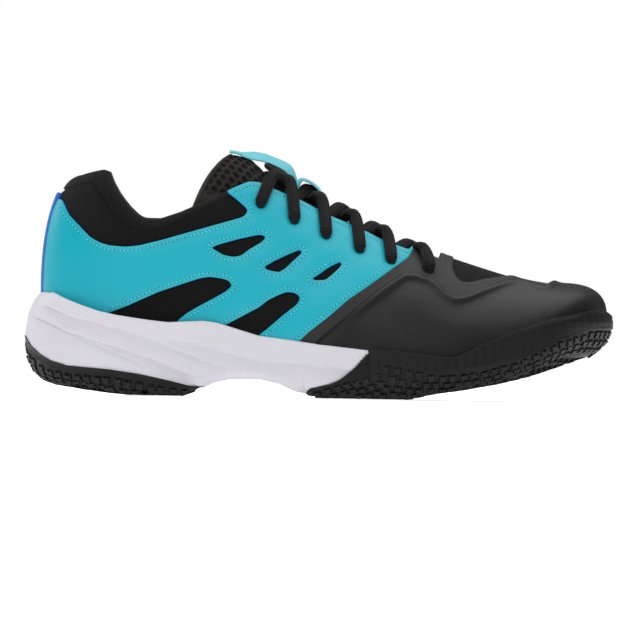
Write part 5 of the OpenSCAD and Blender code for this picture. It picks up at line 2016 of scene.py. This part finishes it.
    def free_end(self, side: Side) -> None:
        """One end as a cord inside the shoe, with its tip."""
        path = self.end_path(side)
        up = np.cross(unit(np.gradient(path, axis=0)), np.array([0.0, 1.0, 0.0]))
        tube = sweep(path, self.ribbed(path), unit(up))
        piece = build(f"lace_end_{side.word}_woven", tube, [Finishes.lace], sharp=60)
        ahead = unit(path[-1] - path[-3])
        reach = np.array([-1.5, 0, 0.6, 1, 18.6, 19.6, 20.2, 20.2])
        size = np.array([0.7, 1.0, 1.06, 1.0, 1.0, 0.9, 0.6, 0.2])
        line = path[-1] + ahead * (reach[:, None] + 1.2)
        section = oval(1.0, 1.0, 20, 2.0)[None] * (3.3 * size)[:, None, None]
        film = sweep(line, section, np.tile([0.0, 0.0, 1.0], (8, 1)))
        aglet = f"aglet_{side.word}"
        tip = add_piece(f"{aglet}_film", film, [Finishes.aglet], "aglet_black", aglet, body=Body.INSOLE)
        place_piece(piece, None, "lace_black", f"lace_end_{side.word}")
        length = float(norm(np.diff(path, axis=0), axis=1).sum())
        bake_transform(piece)

    def make(self) -> None:
        """Builds the free ends, then the crossings."""
        for side in Side:
            self.free_end(side)
        self.crossings()


# --- inside


@dataclass
class Insole:
    """The removable insole and its cloth, which follow the footbed."""

    depth: float = 6.4
    thickness: float = 3.8
    cloth: float = 0.8
    lift: float = 2.1

    def layer(self, low: float, high: float) -> Surface:
        """A layer between two heights over the footbed's edge, crowned at its rim."""
        u = np.linspace(0.0, LAST.end, 220)
        a = np.linspace(-1, 1, 60)
        uu, aa = np.meshgrid(u, a, indexing="ij")
        left, right = LAST.point(uu, -1.0), LAST.point(uu, 1.0)
        centre, span = (left + right) / 2, (right - left) / 2
        length = norm(span, axis=2, keepdims=True)
        shrink = np.maximum(length - self.depth, 0.3) / np.maximum(length, 0.3)
        flat = centre + span * shrink * aa[..., None]
        push = ease(0.9, 0.0, uu) * (self.depth - 1) - ease(15.0, 16.0, uu) * self.depth
        flat[..., 0] += push
        cup = 1.6 * np.abs(aa) ** 6
        face, back = flat.copy(), flat.copy()
        face[..., 2] += high + cup - 0.4 * np.abs(aa) ** 20
        back[..., 2] += low + cup
        return slab(face, back)

    def make(self) -> None:
        """Builds the foam and the cloth bonded to it."""
        top = self.lift + self.thickness
        foam, cloth = self.layer(self.lift, top), self.layer(top + 0.05, top + self.cloth)
        on = Body.INSOLE
        add_piece("insole_moulded", foam, [Finishes.insole], "insole_foam", "insole", body=on)
        add_piece("insole_cloth_brushed", cloth, [Finishes.insole_cloth], "insole_cloth", "insole_cloth", body=on)


class Hidden:
    """The parts between the layers, which keep their own meshes."""

    finishes = {
        "shank_plate": Finishes.shank, "heel_cushion": Finishes.gel, "forefoot_cushion": Finishes.gel,
        "lasting_board": Finishes.board, "toe_puff": Finishes.stiffener, "heel_counter": Finishes.stiffener,
        "eyestay_backing_lateral": Finishes.backing, "eyestay_backing_medial": Finishes.backing,
    }

    def dress(self, nodes: dict[str, Piece]) -> None:
        """Gives each hidden part its finish."""
        for name, finish in self.finishes.items():
            mesh = nodes[name].data
            mesh.materials.clear()
            mesh.materials.append(finish.material())
            LOG.info("%s: dressed", name)


# --- studio


@dataclass
class Studio:
    """Camera, pale floor and soft light."""

    aim: tuple[float, float, float] = (-0.00015, -0.02, 0.0393)
    distance: float = 5.0
    lens: float = 562.5
    tilt: float = 0.95

    def camera(self) -> None:
        """Looks at the lateral side, level, from far away."""
        data = bpy.data.cameras.new("camera")
        data.lens, data.sensor_width = self.lens, 36.0
        data.clip_end = 20.0
        eye = bpy.data.objects.new("camera", data)
        bpy.context.scene.collection.objects.link(eye)
        eye.location = (self.aim[0], self.aim[1] - self.distance, self.aim[2])
        eye.rotation_euler = (math.radians(90), math.radians(-self.tilt), 0)
        bpy.context.scene.camera = eye
        bpy.context.scene.view_settings.view_transform = "Standard"

    def floor(self) -> None:
        """A wide flat pale sheet."""
        x, y = np.meshgrid(np.linspace(-14, 14, 9), np.linspace(-14, 14, 9), indexing="ij")
        grid = np.stack([x, y, np.full(x.shape, -0.0002)], 2)
        piece = build("floor", grid_surface(grid * 1000), [Finishes.floor], sharp=None)

    def lamp(self, name: str, place: tuple[float, float, float], size: float, power: float) -> None:
        """A square soft lamp that faces the shoe."""
        data = bpy.data.lights.new(name, "AREA")
        data.energy, data.size = power, size
        lamp = bpy.data.objects.new(name, data)
        bpy.context.scene.collection.objects.link(lamp)
        lamp.location = place
        way = mathutils.Vector((0, 0, 0.05)) - mathutils.Vector(place)
        lamp.rotation_euler = way.to_track_quat("-Z", "Y").to_euler()

    def make(self) -> None:
        """Builds the floor and the lights."""
        self.floor()
        self.lamp("top", (0.0, 0.1, 1.7), 2.4, 36)
        self.lamp("key", (-0.5, -1.8, 1.3), 1.2, 10)
        self.lamp("fill", (1.4, -1.5, 0.8), 1.0, 3)
        self.lamp("rear", (-1.6, 1.0, 0.9), 1.2, 8)
        world = bpy.data.worlds.new("studio")
        bpy.context.scene.world = world
        world.use_nodes = True
        tree = world.node_tree
        back = tree.nodes["Background"]
        back.inputs["Color"].default_value = (1.0, 1.0, 1.0, 1.0)
        seen = tree.nodes.new("ShaderNodeLightPath").outputs["Is Camera Ray"]
        power = tree.nodes.new("ShaderNodeMapRange")
        tree.links.new(seen, power.inputs["Value"])
        power.inputs["To Min"].default_value = 0.22
        power.inputs["To Max"].default_value = 1.0
        tree.links.new(power.outputs["Result"], back.inputs["Strength"])


def main() -> None:
    """Loads the frame and builds the shoe, cords first."""
    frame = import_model()
    studio = Studio()
    studio.camera()
    for part in (Lace(), Sole(), Upper(), Collar(), Tongue(), Insole()):
        part.make()
    Hidden().dress(frame["nodes"])
    studio.make()
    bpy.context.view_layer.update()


if __name__ == "__main__":
    logging.basicConfig(level=logging.INFO, format="%(name)s: %(message)s")
    main()
